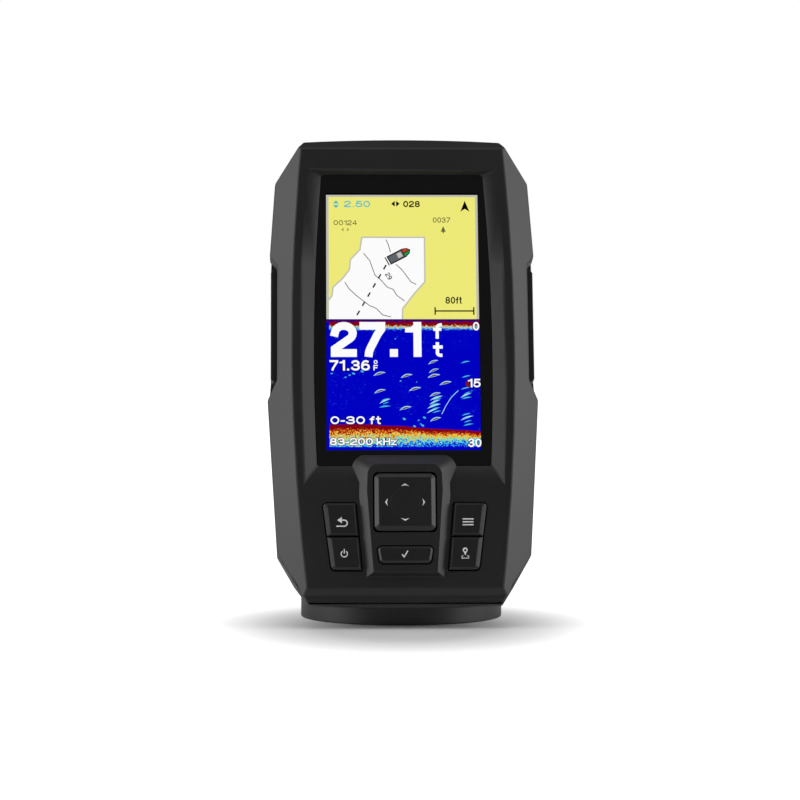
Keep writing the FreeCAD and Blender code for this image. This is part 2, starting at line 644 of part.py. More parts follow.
def arrow_pad():
    """Four-way pad with a shallow dish and four stems."""
    body = new_body("arrow_pad")
    prism(body, "XZ", "-pad_rise", "1.5", ARROW_PAD)
    dress(body, "Fillet", "pad_corner", runs_deep)
    crown = -number_of("pad_rise")
    dress(body, "Chamfer", "1.2", lambda edge: all(abs(v.Y - crown) < 1e-4 for v in edge.Vertexes))
    rods(body, "XZ", "1.4", "2.3", [("0.0001", "pad_centre")], "4")
    rods(body, "XZ", "1.4", "rock_stem_end", ROCK_SPOTS, "stem_radius - 0.2")
    place_on_head(body)


# ---------------------------------------------------------------- display head: cable socket and trim
def sonar_socket():
    """Round socket for the power and sonar cable: collar, threaded shank and stepped bore."""
    body = new_body("sonar_socket")
    rods(body, "XZ", "socket_tail", "socket_mouth", SOCKET, "socket_shank")
    rods(body, "XZ", "collar_front", "socket_mouth", SOCKET, "socket_radius")
    rods(body, "XZ", "collar_front", "collar_back", SOCKET, "collar_radius")
    bores(body, "XZ", "socket_step", "socket_mouth + 1", SOCKET, "socket_bore")
    bores(body, "XZ", "socket_floor", "socket_mouth", SOCKET, "socket_inner")
    bores(body, "XZ", "socket_tail - 1", "socket_tail + 4", SOCKET, "socket_inner")
    place_on_head(body)


def socket_spots(circle):
    """Four places round the socket's axis."""
    spots = []
    for across, along in ((1, 1), (1, -1), (-1, -1), (-1, 1)):
        spots.append((f"{across} * {circle}", f"socket_height + {along} * {circle}"))
    return spots


def socket_pins():
    """Four contact pins on the floor of the socket."""
    body = new_body("socket_pins")
    rods(body, "XZ", "socket_floor + 0.01", "socket_step - 0.3", socket_spots("pin_circle"), "pin_radius")
    place_on_head(body)


def socket_wires():
    """Four wires from the board's connector to the tail of the socket."""
    body = new_body("socket_wires")
    start = "board_front + board_thick + connector_height + 0.02"
    rods(body, "XZ", start, "socket_tail + 3.9", socket_spots("1.9"), "0.65")
    place_on_head(body)


def socket_nut():
    """Hexagon nut that clamps the socket from inside the rear housing."""
    body = new_body("socket_nut")
    prism(body, "XZ", "back_depth - shell_wall - 3.2", "back_depth - shell_wall - 0.02",
          hexagon("10", "0", "socket_height"))
    bores(body, "XZ", "back_depth - 8", "back_depth", SOCKET, "socket_shank + 0.05")
    place_on_head(body)


def socket_seal():
    """Flat rubber ring between the socket's collar and the housing."""
    body = new_body("socket_seal")
    rods(body, "XZ", "back_depth + 0.92", "collar_front - 0.02", SOCKET, "collar_radius - 0.6")
    bores(body, "XZ", "back_depth", "collar_front", SOCKET, "socket_shank + 0.3")
    place_on_head(body)


def vent_plug():
    """Breather plug that lets air, but no water, through the rear housing."""
    body = new_body("vent_plug")
    rods(body, "XZ", "back_depth + 0.02", "back_depth + 1", VENT, "vent_radius + 1.6")
    rods(body, "XZ", "back_depth - 3.4", "back_depth + 0.1", VENT, "vent_radius")
    bores(body, "XZ", "back_depth - 4", "back_depth - 0.6", VENT, "vent_radius - 0.9")
    place_on_head(body)


def rating_label():
    """Blank foil label in a shallow recess."""
    body = new_body("rating_label")
    prism(body, "XZ", "back_depth - 0.24", "back_depth + 0.02", LABEL)
    place_on_head(body)


# ---------------------------------------------------------------- quick-release cradle
def cradle():
    """Plate that the head's rails slide onto, with a spring tongue, two gussets and the hinge knuckle."""
    body = new_body("cradle")
    prism(body, "XY", "plate_low", "plate_top", [
        ("-plate_half", "plate_front"), ("plate_half", "plate_front"),
        ("plate_back_half", "plate_back"), ("-plate_back_half", "plate_back")])
    neck = [
        ("plate_back - 0.4", "plate_low + 4"), ("hinge_depth - 2", "hinge_height - knuckle_radius"),
        ("hinge_depth", "hinge_height + knuckle_radius - 0.3"), ("plate_back - 0.4", "plate_top - 22")]
    prism(body, "YZ", "-knuckle_half", "knuckle_half", neck)
    rods(body, "YZ", "-knuckle_half", "knuckle_half", [("hinge_depth", "hinge_height")], "knuckle_radius")
    bores(body, "YZ", "-20", "20", [("hinge_depth", "hinge_height")], "bolt_radius + 1.25")
    carve(body, "YZ", "-knuckle_half + gusset", "knuckle_half - gusset", [
        ("plate_back + 0.6", "plate_low - 6"), ("hinge_depth - 3.5", "plate_low - 6"),
        ("hinge_depth - 3.5", "hinge_height - 10"), ("hinge_depth - 9.9", "hinge_height - 4"),
        ("hinge_depth - 9.9", "hinge_height + 5"), ("plate_back + 0.6", "hinge_height + 8")])
    slot = both_sides([("7", "70"), ("7", "82"), ("5.8", "82"), ("5.8", "71.2")])
    carve(body, "XZ", "plate_front - 1", "plate_back + 1", slot)
    prism(body, "XZ", "plate_front - 0.2", "plate_front + 0.5", box("4", "77.5", "79.5"))
    place_on_head(body)


def hinge_bush():
    """Sleeve pressed into the knuckle, which turns on the tilt bolt."""
    body = new_body("hinge_bush")
    rods(body, "YZ", "-knuckle_half", "knuckle_half", CENTRE, "bolt_radius + 1.2")
    bores(body, "YZ", "-20", "20", CENTRE, "bolt_radius + 0.05")
    place_on_hinge(body)


# ---------------------------------------------------------------- swivel mount, tilt bolt and knob
def swivel_mount():
    """Turntable with two ears that carry the tilt bolt."""
    body = new_body("swivel_mount")
    rods(body, "XY", "turntable_low", "turntable_top", CENTRE, "turntable_radius")
    prism(body, "XY", "turntable_top - 0.2", "web_top", [
        ("-yoke_half", "web_front"), ("yoke_half", "web_front"),
        ("yoke_half", "web_back"), ("-yoke_half", "web_back")])
    rise = f"({HINGE_Z} - web_top)"
    ear = [
        ("ear_front_edge", "web_top - 0.2"), ("web_back", "web_top - 0.2"),
        (f"{HINGE_Y} + yoke_radius", HINGE_Z), (f"{HINGE_Y} - yoke_radius", f"{HINGE_Z} - {rise} * 0.1")]
    for inner, outer in (("ear_gap_half", "yoke_half"), ("-yoke_half", "-ear_gap_half")):
        prism(body, "YZ", inner, outer, ear)
        rods(body, "YZ", inner, outer, [(HINGE_Y, HINGE_Z)], "yoke_radius")
    bores(body, "YZ", "-30", "30", [(HINGE_Y, HINGE_Z)], "bolt_radius + 0.05")
    bores(body, "XY", "turntable_top", "web_top + 1", CENTRE, "nut_pocket")
    bores(body, "XY", "turntable_low - 1", "turntable_top + 1", CENTRE, "swivel_radius + 0.05")


def friction_washers():
    """Two thin washers between the knuckle and the ears."""
    body = new_body("friction_washers")
    rods(body, "YZ", "knuckle_half + 0.03", "ear_gap_half - 0.03", CENTRE, "knuckle_radius - 0.4")
    rods(body, "YZ", "-ear_gap_half + 0.03", "-knuckle_half - 0.03", CENTRE, "knuckle_radius - 0.4")
    bores(body, "YZ", "-20", "20", CENTRE, "bolt_radius + 0.1")
    place_on_hinge(body)


def tilt_bolt():
    """Hexagon bolt along the tilt axis, with the knob on its free end."""
    body = new_body("tilt_bolt")
    rods(body, "YZ", "-yoke_half - 0.1", "knob_end - 3", CENTRE, "bolt_radius")
    prism(body, "YZ", "-yoke_half - 4.2", "-yoke_half - 0.02", hexagon("5.8"))
    place_on_hinge(body)


def tilt_washer():
    """Washer between the right ear and the knob."""
    body = new_body("tilt_washer")
    rods(body, "YZ", "yoke_half + 0.02", "knob_start - 0.1", CENTRE, "6.5")
    bores(body, "YZ", "0", "40", CENTRE, "bolt_radius + 0.1")
    place_on_hinge(body)


def tilt_knob():
    """Scalloped clamping knob."""
    body = new_body("tilt_knob")
    rods(body, "YZ", "knob_start", "knob_start + 3.2", CENTRE, "7.5")
    rods(body, "YZ", "knob_start + 3", "knob_end", CENTRE, "knob_radius")
    scallop = circles(body, "YZ", "knob_end + 1", [("scallop_circle", "0.0001")], "scallop_radius")
    cut = feature(body, "Pocket", scallop, "knob_end - knob_start - 1.5")
    before = body.Shape.Volume
    pattern = body.newObject("PartDesign::PolarPattern", "tilt_knob_scallops")
    pattern.Originals = [cut]
    pattern.Axis = (next(f for f in body.Origin.OriginFeatures if f.Role == "X_Axis"), [""])
    pattern.Angle = 360
    pattern.Occurrences = 7
    built(body, pattern, before)
    bores(body, "YZ", "knob_start - 1", "knob_end - 2.4", CENTRE, "bolt_radius + 1.6")
    place_on_hinge(body)


def knob_insert():
    """Threaded brass sleeve moulded into the knob."""
    body = new_body("knob_insert")
    rods(body, "YZ", "knob_start + 0.02", "knob_end - 2.5", CENTRE, "bolt_radius + 1.55")
    bores(body, "YZ", "0", "40", CENTRE, "bolt_radius + 0.05")
    place_on_hinge(body)


# ---------------------------------------------------------------- mounting base
def mount_base():
    """Round base with four counterbored screw holes and the swivel bolt's pocket underneath."""
    body = new_body("mount_base")
    rods(body, "XY", "0", "base_height", CENTRE, "base_radius")
    top = number_of("base_height")
    dress(body, "Chamfer", "base_chamfer", lambda edge: abs(edge.CenterOfMass.z - top) < 1e-4)
    spots = [(f"screw_circle * cos({turn})", f"screw_circle * sin({turn})") for turn in (45, 135, 225, 315)]
    bores(body, "XY", "-1", "base_height", spots, "mount_hole")
    bores(body, "XY", "mount_bore_floor", "base_height + 1", spots, "mount_bore")
    bores(body, "XY", "-1", "base_height + 1", CENTRE, "swivel_radius + 0.05")
    bores(body, "XY", "-1", "4.6", CENTRE, "swivel_radius + 3.6")


def swivel_ring():
    """Low-friction ring between the base and the turntable."""
    body = new_body("swivel_ring")
    rods(body, "XY", "base_height + 0.02", "turntable_low - 0.02", CENTRE, "turntable_radius - 0.8")
    bores(body, "XY", "0", "20", CENTRE, "swivel_radius + 4")


def swivel_bolt():
    """Bolt up through the base, about which the turntable turns."""
    body = new_body("swivel_bolt")
    rods(body, "XY", "4.4", "18.2", CENTRE, "swivel_radius")
    prism(body, "XY", "0.9", "4.5", hexagon("7.2"))


def swivel_nut():
    """Locking nut on the swivel bolt, with its washer."""
    body = new_body("swivel_nut")
    prism(body, "XY", "13.8", "17.6", hexagon("7.4"))
    rods(body, "XY", "turntable_top + 0.05", "13.9", CENTRE, "8.1")
    bores(body, "XY", "0", "40", CENTRE, "swivel_radius + 0.03")


# ---------------------------------------------------------------- build and write
front_housing()
rear_housing()
case_gasket()
case_screws()
display_lens()
lens_adhesive()
lcd_panel()
lcd_frame()
main_board()
board_screws()
tactile_switches()
board_part("board_shield", "14", "66", "100", "3")
board_part("gps_antenna", "9", "136", "154", "4.2", "-14")
board_part("board_connector", "5", "115.5", "126.5", "connector_height")
beeper()
keypad_membrane()
cap("menu_key", UPPER_RIGHT, "key_rise", STEM_SPOTS[2])
cap("waypoint_key", LOWER_RIGHT, "key_rise", STEM_SPOTS[3])
cap("back_key", mirrored(UPPER_RIGHT), "key_rise", STEM_SPOTS[0])
cap("power_key", mirrored(LOWER_RIGHT), "key_rise", STEM_SPOTS[1])
cap("select_key", SELECT_KEY, "select_rise", STEM_SPOTS[4])
arrow_pad_pivot()
arrow_pad()
sonar_socket()
socket_pins()
socket_wires()
socket_nut()
socket_seal()
vent_plug()
rating_label()
cradle()
hinge_bush()
swivel_mount()
friction_washers()
tilt_bolt()
tilt_washer()
tilt_knob()
knob_insert()
mount_base()
swivel_ring()
swivel_bolt()
swivel_nut()
doc.recompute()

for item in doc.Objects:
    if "Invalid" in item.State or "Error" in item.State:
        raise RuntimeError(f"{item.Label} failed: {item.State}")

os.makedirs("parts", exist_ok=True)
subparts = [item for item in doc.Objects if item.TypeId == "PartDesign::Body"]
for item in subparts:
    if item.Shape.isNull() or not item.Shape.isValid():
        raise RuntimeError(f"{item.Label} has no valid shape")
    item.Shape.exportStep(f"parts/{item.Label}.step")
    size = item.Shape.BoundBox
    solids = len(item.Shape.Solids)
    print(f"{item.Label}: {solids} solids, {size.XLength:.1f} x {size.YLength:.1f} x {size.ZLength:.1f} mm")
print(f"{len(subparts)} sub-parts")
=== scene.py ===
# %% [markdown]
# # A fish finder, dressed for its portrait
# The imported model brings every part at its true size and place. This lesson gives those parts their
# looks: rounded edges, moulded grain, printed key symbols and a lit sonar picture. It never moves a part.

# %% Load the frame
import json
import math

import bmesh
import bpy
from mathutils import Matrix, Vector


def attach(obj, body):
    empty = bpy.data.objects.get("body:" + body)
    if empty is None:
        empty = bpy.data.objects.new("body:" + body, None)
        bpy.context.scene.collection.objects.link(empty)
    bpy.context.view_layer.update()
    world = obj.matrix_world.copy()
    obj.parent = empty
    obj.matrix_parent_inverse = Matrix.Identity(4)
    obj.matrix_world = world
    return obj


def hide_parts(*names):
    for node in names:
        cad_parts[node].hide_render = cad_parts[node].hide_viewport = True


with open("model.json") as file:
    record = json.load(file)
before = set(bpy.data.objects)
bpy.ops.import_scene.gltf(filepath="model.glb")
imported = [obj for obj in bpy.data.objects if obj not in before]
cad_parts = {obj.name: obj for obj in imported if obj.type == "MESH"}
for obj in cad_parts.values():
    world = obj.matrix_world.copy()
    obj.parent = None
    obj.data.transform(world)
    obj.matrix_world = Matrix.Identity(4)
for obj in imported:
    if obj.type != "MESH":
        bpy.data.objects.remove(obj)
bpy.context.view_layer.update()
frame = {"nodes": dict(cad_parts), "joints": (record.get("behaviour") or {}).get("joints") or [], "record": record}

# %% [markdown]
# ## A place to draw from
# The head leans back, so drawing on it in world coordinates would be tiresome. Its joints know the way:
# the quick-release slides up the face, and the keys travel into it. From those two axes and the arrow
# pad's pivot we get a matrix that turns the head's own millimetres (right, into the head, up the face)
# into metres.

# %% Drawing frame
MM = 0.001
joints = {joint["name"]: joint for joint in frame["joints"]}
up_face = Vector(joints["head_release"]["axis"])
into_head = Vector(joints["select_key_press"]["axis"])
PAD_DEPTH, PAD_HEIGHT = 3.2, 36.4
pad_pivot = Vector(joints["pad_tip_up_down"]["pos_m"])
head_origin = pad_pivot - (into_head * PAD_DEPTH + up_face * PAD_HEIGHT) * MM
lean = math.atan2(up_face.y, up_face.z)
HEAD = Matrix.Translation(head_origin) @ Matrix.Rotation(-lean, 4, "X") @ Matrix.Scale(MM, 4)
print(f"the head leans {math.degrees(lean):.1f} degrees")
print(f"its chin is at {tuple(round(x, 4) for x in head_origin)}")

# %% [markdown]
# ## Camera
# A long lens from a metre away keeps the sides nearly parallel, as in a catalogue.

# %% Camera
scene = bpy.context.scene
scene.view_settings.view_transform = "Standard"


def direction(azimuth, elevation):
    """A unit vector from the object towards a viewer; azimuth 0 is in front."""
    a, e = math.radians(azimuth), math.radians(elevation)
    return Vector((math.sin(a) * math.cos(e), -math.cos(a) * math.cos(e), math.sin(e)))


CAMERA_TARGET = Vector((-1.2, -24, 80.6)) * MM
CAMERA_SIDE = direction(-1.81, 1.6)
CAMERA_DISTANCE, FOCAL_LENGTH = 1.082, 134.4
camera = bpy.data.objects.new("camera", bpy.data.cameras.new("camera"))
camera.data.lens = FOCAL_LENGTH
camera.data.sensor_width = 36
camera.location = CAMERA_TARGET + CAMERA_SIDE * CAMERA_DISTANCE
camera.rotation_euler = CAMERA_SIDE.to_track_quat("Z", "Y").to_euler()
scene.collection.objects.link(camera)
scene.camera = camera
print(f"camera {camera.data.lens} mm, at {tuple(round(x, 3) for x in camera.location)}")

# %% [markdown]
# ## Shaders as sums
# A shader is maths on sockets, and maths reads best as maths. `Term` wraps a socket so that + - * / < >
# add the Math nodes. `Wiring` makes any other node from its type, its settings and the values of its
# sockets, and `Finish` is the wiring of one material round one Principled shader.

# %% Shader maths


def srgb(*levels):
    """A screen colour, 0 to 255, as the linear numbers that shaders use."""
    shares = [level / 255 for level in levels]
    return tuple(c / 12.92 if c < 0.04 else ((c + 0.055) / 1.055) ** 2.4 for c in shares)


class Term:
    """A socket that Python's operators work on."""

    def __init__(self, tree, socket):
        self.tree, self.socket = tree, socket

    def math(self, operation, *terms):
        node = self.tree.nodes.new("ShaderNodeMath")
        node.operation = operation
        for socket, term in zip(node.inputs, terms):
            plug(self.tree, socket, term)
        return Term(self.tree, node.outputs[0])

    def __add__(self, other):
        return self.math("ADD", self, other)

    def __sub__(self, other):
        return self.math("SUBTRACT", self, other)

    def __rsub__(self, other):
        return self.math("SUBTRACT", other, self)

    def __mul__(self, other):
        return self.math("MULTIPLY", self, other)

    def __truediv__(self, other):
        return self.math("DIVIDE", self, other)

    def __gt__(self, other):
        return self.math("GREATER_THAN", self, other)

    def __lt__(self, other):
        return self.math("LESS_THAN", self, other)


def plug(tree, socket, value):
    """Links a term to a socket, or sets a plain value on it."""
    if isinstance(value, Term):
        tree.links.new(value.socket, socket)
    else:
        socket.default_value = value


class Wiring:
    """Adds shader nodes to a node tree."""

    def __init__(self, tree):
        self.tree = tree

    def node(self, kind, settings=None, values=None, output=0):
        """A node of any kind. A ramp's stops are pairs of a place and a colour."""
        node = self.tree.nodes.new("ShaderNode" + kind)
        for key, value in (settings or {}).items():
            if key == "stops":
                for i, (place, colour) in enumerate(value):
                    stop = node.color_ramp.elements[i] if i < 2 else node.color_ramp.elements.new(place)
                    stop.position, stop.color = place, (*colour, 1)
            else:
                setattr(node, key, value)
        for socket, value in (values or {}).items():
            plug(self.tree, node.inputs[socket], value)
        return Term(self.tree, node.outputs[output])

    def split(self, vector):
        """The x, y and z of a vector."""
        parts = self.node("SeparateXYZ", values={0: vector}).socket.node.outputs
        return [Term(self.tree, part) for part in parts]

    def ramp(self, factor, *stops):
        return self.node("ValToRGB", {"stops": stops}, {"Fac": factor})

    def fade(self, value, start, end, low=0.0, high=1.0):
        """Goes from low to high as value goes from start to end, and stays there."""
        values = {"Value": value, "From Min": start, "From Max": end, "To Min": low, "To Max": high}
        return self.node("MapRange", values=values)

    def layer(self, mask, below, above):
        """The colour above where mask is 1, and the colour below where it is 0."""
        return self.node("Mix", {"data_type": "RGBA"}, {0: mask, 6: below, 7: above}, output=2)


class Finish(Wiring):
    """A material with one Principled shader."""

    def __init__(self, name, colour, roughness, **sockets):
        self.material = bpy.data.materials.new(name)
        self.material.use_nodes = True
        super().__init__(self.material.node_tree)
        self.shader = self.tree.nodes["Principled BSDF"]
        self.shader.inputs["Base Color"].default_value = (*colour, 1)
        self.shader.inputs["Roughness"].default_value = roughness
        for socket, value in sockets.items():
            self.shader.inputs[socket.replace("_", " ")].default_value = value

    def drive(self, socket, term):
        plug(self.tree, self.shader.inputs[socket], term)

    def place(self):
        """The point being shaded, in metres."""
        return self.node("TexCoord", output=3)

    def head_place(self):
        """The point being shaded, in the head's own millimetres."""
        turned = {"Location": head_origin, "Rotation": (-lean, 0, 0), "Scale": (MM, MM, MM)}
        return self.node("Mapping", {"vector_type": "TEXTURE"}, {"Vector": self.place(), **turned})

    def noise(self, size, detail=2.0, where=None):
        """Smooth noise from 0 to 1 whose blobs are about size across, in the units of where."""
        values = {"Vector": where or self.place(), "Scale": 1 / size, "Detail": detail}
        return self.node("TexNoise", values=values)

    def bump(self, height, depth):
        """Raises the surface by height times depth metres."""
        self.drive("Normal", self.node("Bump", values={"Height": height, "Distance": depth}))


FINISHES = {}
print("shader helpers ready")

# %% [markdown]
# ## Light
# Two tall softboxes stand left and right, because the long bevels of the housing only read when something
# bright is reflected in them. A third hangs overhead, a little in front. The world looks white to the
# camera and lights the scene softly from both sides, but it is dim in front, overhead and behind, so that
# black plastic stays black.

# %% Softboxes


def softbox(name, place, size, power):
    """A rectangular lamp that faces the object."""
    lamp = bpy.data.lights.new(name, "AREA")
    lamp.shape = "RECTANGLE"
    lamp.size, lamp.size_y = size
    lamp.energy = power
    box = bpy.data.objects.new(name, lamp)
    box.location = place
    box.rotation_euler = (box.location - CAMERA_TARGET).to_track_quat("Z", "Y").to_euler()
    scene.collection.objects.link(box)


SIDE_WATTS, OVERHEAD_WATTS = 5, 1.7
softbox("left_softbox", (-0.95, -0.15, 0.34), (0.75, 1.0), SIDE_WATTS)
softbox("right_softbox", (0.95, -0.15, 0.34), (0.75, 1.0), SIDE_WATTS)
softbox("overhead_softbox", (0, -0.15, 1.2), (1.0, 0.7), OVERHEAD_WATTS)
print("three softboxes")

# %% World
world = bpy.data.worlds.new("studio")
scene.world = world
world.use_nodes = True
world.node_tree.nodes.clear()
sky = Wiring(world.node_tree)
aside = sky.split(sky.node("TexCoord"))[0]
aside = aside.math("ABSOLUTE", aside)
MIDDLE_END, SIDE_START = 0.3, 0.8
MIDDLE_GLOW, SIDE_GLOW = 0.11, 0.8
strength = sky.fade(aside, MIDDLE_END, SIDE_START, MIDDLE_GLOW, SIDE_GLOW)
lit = sky.node("Background", values={"Color": (1, 1, 1, 1), "Strength": strength})
seen = sky.node("Background", values={"Color": (1, 1, 1, 1), "Strength": 1.0})
both = sky.node("MixShader", values={0: sky.node("LightPath"), 1: lit, 2: seen})
output = world.node_tree.nodes.new("ShaderNodeOutputWorld")
world.node_tree.links.new(both.socket, output.inputs["Surface"])
print("white world, brighter at the sides")

# %% [markdown]
# ## Moulded plastic
# Injection-moulded housings carry the texture of an etched mould: grains a few tenths of a millimetre
# across, a few micrometres deep, all alike. On top of that the gloss drifts a little over a hand's width,
# where the plastic cooled at different speeds. Both are noise: one fine and in the bump, one broad and in
# roughness and colour.

# %% Plastics
GLOSS_PATCH, GLOSS_DRIFT, GRAIN_GLOSS = 0.03, 0.06, 0.08
DARKER, LIGHTER = 0.8, 1.22


def moulded(name, colour, roughness, grain=0.00045, depth=0.000012):
    """Plastic with an etched grain and a slow drift in gloss."""
    finish = Finish(name, colour, roughness)
    broad, fine = finish.noise(GLOSS_PATCH, 1.0), finish.noise(grain, 3.0)
    least = roughness - (GLOSS_DRIFT + GRAIN_GLOSS) / 2
    finish.drive("Roughness", broad * GLOSS_DRIFT + fine * GRAIN_GLOSS + least)
    darker, lighter = [c * DARKER for c in colour], [c * LIGHTER for c in colour]
    finish.drive("Base Color", finish.ramp(fine * 0.6 + broad * 0.4, (0.3, darker), (0.7, lighter)))
    finish.bump(fine, depth)
    FINISHES[name] = finish.material


moulded("black_shell", (0.0105, 0.0107, 0.0115), 0.42)
moulded("key_black", (0.0098, 0.0099, 0.0106), 0.36, grain=0.0003, depth=0.000006)
moulded("soft_black", (0.010, 0.010, 0.0105), 0.55, grain=0.0006, depth=0.00002)
moulded("socket_black", (0.011, 0.011, 0.0115), 0.3, grain=0.0003, depth=0.000004)
moulded("nylon", (0.56, 0.54, 0.47), 0.45, grain=0.0005, depth=0.00001)
moulded("black_rubber", (0.012, 0.012, 0.0115), 0.7, grain=0.0004, depth=0.00001)
moulded("black_foam", (0.008, 0.008, 0.008), 0.9, grain=0.0008, depth=0.00005)
moulded("green_board", (0.004, 0.055, 0.02), 0.35, grain=0.002, depth=0.00001)
moulded("ceramic", (0.5, 0.42, 0.3), 0.5, grain=0.0006, depth=0.00001)
print(sorted(FINISHES))

# %% [markdown]
# ## Metals
# Turned, rolled and plated metal differ in their fine scratches. Stretching noise along one axis gives
# the direction of the tool, and the same scratches vary the roughness, so the highlight breaks up.

# %% Metal finishes
SCRATCH, SCRATCH_DEPTH, TARNISH = 0.0004, 0.000004, 0.004


def metal(name, colour, roughness, stretch=(1, 1, 12)):
    """Metal with fine tool marks across one axis."""
    finish = Finish(name, colour, roughness, Metallic=1.0)
    drawn = finish.node("Mapping", values={"Vector": finish.place(), "Scale": stretch})
    marks, cloud = finish.noise(SCRATCH, 3.0, drawn), finish.noise(TARNISH)
    finish.drive("Roughness", marks * 0.22 + cloud * 0.08 + (roughness - 0.15))
    dull = [c * 0.78 for c in colour]
    finish.drive("Base Color", finish.ramp(cloud, (0.25, dull), (0.75, colour)))
    finish.bump(marks, SCRATCH_DEPTH)
    FINISHES[name] = finish.material


metal("screw_steel", (0.56, 0.56, 0.57), 0.32)
metal("plated_sheet", (0.62, 0.62, 0.6), 0.35, (1, 12, 1))
metal("brass", (0.72, 0.5, 0.2), 0.3)
metal("label_foil", (0.42, 0.43, 0.44), 0.38, (14, 1, 1))
print("four metals")

# %% [markdown]
# ## The window
# The lens is one clear sheet, painted black round the edge from behind. One material does both: it is
# opaque and glossy, and turns almost clear over the lit area. Finger grease shows as faint clouds in its
# gloss.

# %% Lens finish
LIT_HALF, LIT_LOW, LIT_TOP, SPLIT = 27.8, 56.6, 152.8, 105.6
PAINT_GAP, CLEARNESS = 0.15, 0.96
lens = Finish("screen_glass", srgb(12, 12, 13), 0.1)
across, _, height = lens.split(lens.head_place())
inside = across.math("ABSOLUTE", across) < LIT_HALF + PAINT_GAP
inside = inside * (height > LIT_LOW - PAINT_GAP) * (height < LIT_TOP + PAINT_GAP)
lens.drive("Alpha", 1 - inside * CLEARNESS)
lens.drive("Roughness", lens.noise(0.012) * 0.12 + 0.06)
FINISHES["screen_glass"] = lens.material
print("lens, clear over", 2 * LIT_HALF, "by", round(LIT_TOP - LIT_LOW, 1), "mm")

# %% [markdown]
# ## Light from the display
# Everything drawn on the display glows. The cells of the panel are a tenth of a millimetre across, with
# thin dark lines between them, and `lit_cells` puts that grid on any colour.

# %% Lit colours
CELL, CELL_LINE = 0.113, 0.14
LINE_LEVEL, CELL_LEVEL = 0.74, 0.3
LIT_STRENGTH = 1.09


def lit_cells(finish, colour):
    """Makes a finish glow with a colour, through the grid of the panel's cells."""
    across, _, height = finish.split(finish.head_place())
    columns = (across / CELL).math("FRACT", across / CELL) > CELL_LINE
    rows = (height / CELL).math("FRACT", height / CELL) > CELL_LINE
    cells = columns * rows * CELL_LEVEL + LINE_LEVEL
    grey = finish.node("CombineXYZ", values={0: cells, 1: cells, 2: cells})
    tinted = finish.node("VectorMath", {"operation": "MULTIPLY"}, {0: grey, 1: colour})
    finish.drive("Emission Color", tinted)


def glow(name, *levels):
    """A plain colour on the display."""
    finish = Finish(name, (0, 0, 0), 0.4, Emission_Strength=LIT_STRENGTH, Specular_IOR_Level=0.0)
    lit_cells(finish, srgb(*levels))
    return finish.material


WHITE = glow("lit_white", 255, 255, 255)
BLACK = glow("lit_black", 6, 6, 10)
YELLOW = glow("lit_land", 241, 237, 122)
GREY = glow("lit_shore", 196, 194, 182)
LINE = glow("lit_contour", 48, 50, 56)
OLIVE = glow("lit_waypoint", 104, 100, 58)
CYAN = glow("lit_cyan", 70, 190, 205)
DECK = glow("lit_deck", 96, 101, 108)
RED = glow("lit_red", 205, 62, 40)
GREEN = glow("lit_green", 30, 150, 76)
NAVY = glow("lit_halo", 0, 0, 96)
DARK_RED = glow("lit_echo", 120, 18, 40)
PALE = glow("lit_edge", 168, 226, 236)
print("13 lit colours")

# %% [markdown]
# ## What the sonar sees
# A sonar picture is made of columns, one for each ping, with strong echoes in red and weak ones in blue.
# The surface clutter is a red band at the top, and the bottom of the lake is a red line that fades
# downwards through orange, yellow and green into the blue of the water. Both are ramps over a distance,
# broken up by noise.

# %% Sonar finish
MARGIN_LEFT, MARGIN_LOW = -26.8, 58.0
BED_LEFT, BED_RIGHT = 66.3, 63.7
GRAIN_SIZE, WOBBLE_SIZE, CLOUD_SIZE = 0.5, 7.0, 9.0
CLUTTER_DEPTH = 4
sonar = Finish("sonar", (0, 0, 0), 0.4, Emission_Strength=LIT_STRENGTH, Specular_IOR_Level=0.0)
spot = sonar.head_place()
across, _, height = sonar.split(spot)
grain = sonar.noise(GRAIN_SIZE, 3.0, spot) - 0.5
clouds = sonar.noise(CLOUD_SIZE, 2.0, spot)
wobble = sonar.noise(WOBBLE_SIZE, 2.0, spot) - 0.5
blue, deep_red = srgb(0, 0, 196), srgb(134, 2, 14)
specks = (sonar.noise(GRAIN_SIZE, 1.0, spot) > 0.72) * (clouds > 0.52)
water = sonar.layer(specks * 0.55, (*blue, 1), (*srgb(60, 120, 240), 1))
bed = sonar.fade(across, -12, 28, BED_LEFT, BED_RIGHT) + wobble * 0.8 + grain * 0.9
below_bed = bed - height
fading = sonar.fade(across, -14, 24, 0.068, 0.125)
fall = below_bed * fading + grain * sonar.fade(below_bed, 0.5, 5, 0.25, 1.3)
bed_colour = sonar.ramp(
    fall, (0.0, deep_red), (0.13, deep_red), (0.2, srgb(226, 92, 24)), (0.31, srgb(246, 214, 70)),
    (0.42, srgb(120, 226, 150)), (0.52, srgb(60, 200, 240)), (0.66, srgb(20, 80, 235)), (0.8, blue))
below_surface = SPLIT - height
clutter = below_surface + grain * 3.2
clutter_colour = sonar.ramp(
    clutter / 5, (0.0, srgb(40, 0, 120)), (0.16, srgb(56, 0, 104)), (0.24, deep_red), (0.5, deep_red),
    (0.57, srgb(240, 208, 130)), (0.66, srgb(110, 205, 235)), (0.8, blue))
picture = sonar.layer(below_bed > 0, water, bed_colour)
picture = sonar.layer(clutter < CLUTTER_DEPTH, picture, clutter_colour)
margin = 1 - (across > MARGIN_LEFT) * (height > MARGIN_LOW)
picture = sonar.layer(margin * (below_surface > 1.0), picture, (*blue, 1))
lit_cells(sonar, picture)
print(len(sonar.tree.nodes), "nodes in the sonar picture")

